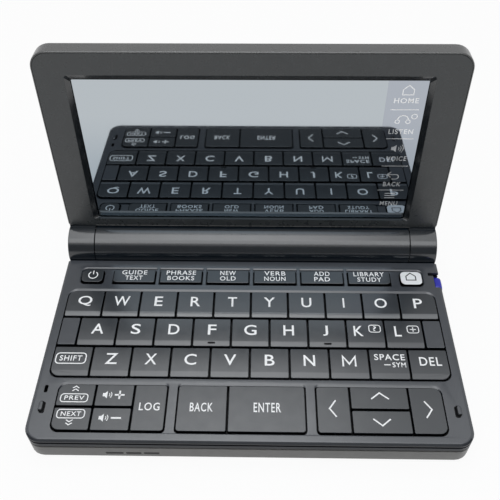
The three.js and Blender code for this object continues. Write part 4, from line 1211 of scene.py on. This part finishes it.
def room_tone(tree):
    """White all round, but dim low in front of the object and a little dimmer behind the lamps."""
    height = coordinate(tree, "Generated", "Z")
    depth = coordinate(tree, "Generated", "Y")
    over = spread(tree, height, SHADE, 1, *SHADE_HEIGHT, "SMOOTHSTEP")
    past = spread(tree, depth, SHADE, 1, *SHADE_DEPTH, "SMOOTHSTEP")
    behind = spread(tree, depth, 1, BEHIND, *BEHIND_DEPTH, "SMOOTHSTEP")
    tone = arithmetic(tree, "MULTIPLY", arithmetic(tree, "MAXIMUM", over, past), behind)
    straight = tree.nodes.new("ShaderNodeLightPath").outputs["Is Camera Ray"]
    return arithmetic(tree, "MAXIMUM", tone, straight)


def build_world():
    world = bpy.data.worlds.new("room")
    bpy.context.scene.world = world
    world.use_nodes = True
    tree = world.node_tree
    sky = tree.nodes["Background"]
    sky.inputs["Color"].default_value = (1, 1, 1, 1)
    level = tree.nodes.new("ShaderNodeMix")
    tree.links.new(seen_rays(tree), level.inputs["Factor"])
    level.inputs["A"].default_value = AMBIENT
    tree.links.new(room_tone(tree), level.inputs["B"])
    tree.links.new(level.outputs["Result"], sky.inputs["Strength"])


def light(name, place, target, size, radiance):
    data = bpy.data.lights.new(name, "AREA")
    data.shape = "RECTANGLE"
    data.size, data.size_y = size
    data.energy = radiance * math.pi * size[0] * size[1]
    data.color = LAMP_COLOR
    made = bpy.data.objects.new(name, data)
    bpy.context.scene.collection.objects.link(made)
    made.location = place
    made.rotation_euler = (Vector(target) - Vector(place)).to_track_quat("-Z", "Y").to_euler()


def build_lights():
    for number, (x0, x1, radiance) in enumerate(OVERHEAD):
        x, height = (x0 + x1) / 2, OVERHEAD_HEIGHT + number * LAYER_GAP
        light("overhead_%d" % number, (x, OVERHEAD_Y, height), (x, OVERHEAD_Y, 0),
              (x1 - x0, OVERHEAD_DEPTH), radiance)
    light("front", FRONT_PLACE, FRONT_TARGET, FRONT_SIZE, FRONT_RADIANCE)


def build_camera():
    data = bpy.data.cameras.new("camera")
    data.sensor_width = 36
    data.lens = 49.112
    data.shift_x = -0.0002
    data.shift_y = -0.0571
    data.clip_start = 0.01
    camera = bpy.data.objects.new("camera", data)
    bpy.context.scene.collection.objects.link(camera)
    turn = Euler([math.radians(angle) for angle in CAMERA_TURN]).to_matrix().to_4x4()
    camera.matrix_world = Matrix.Translation(BASE @ Vector(CAMERA_PLACE)) @ turn
    bpy.context.scene.camera = camera


build_floor()
build_world()
build_lights()
build_camera()
bpy.context.scene.view_settings.view_transform = "Standard"
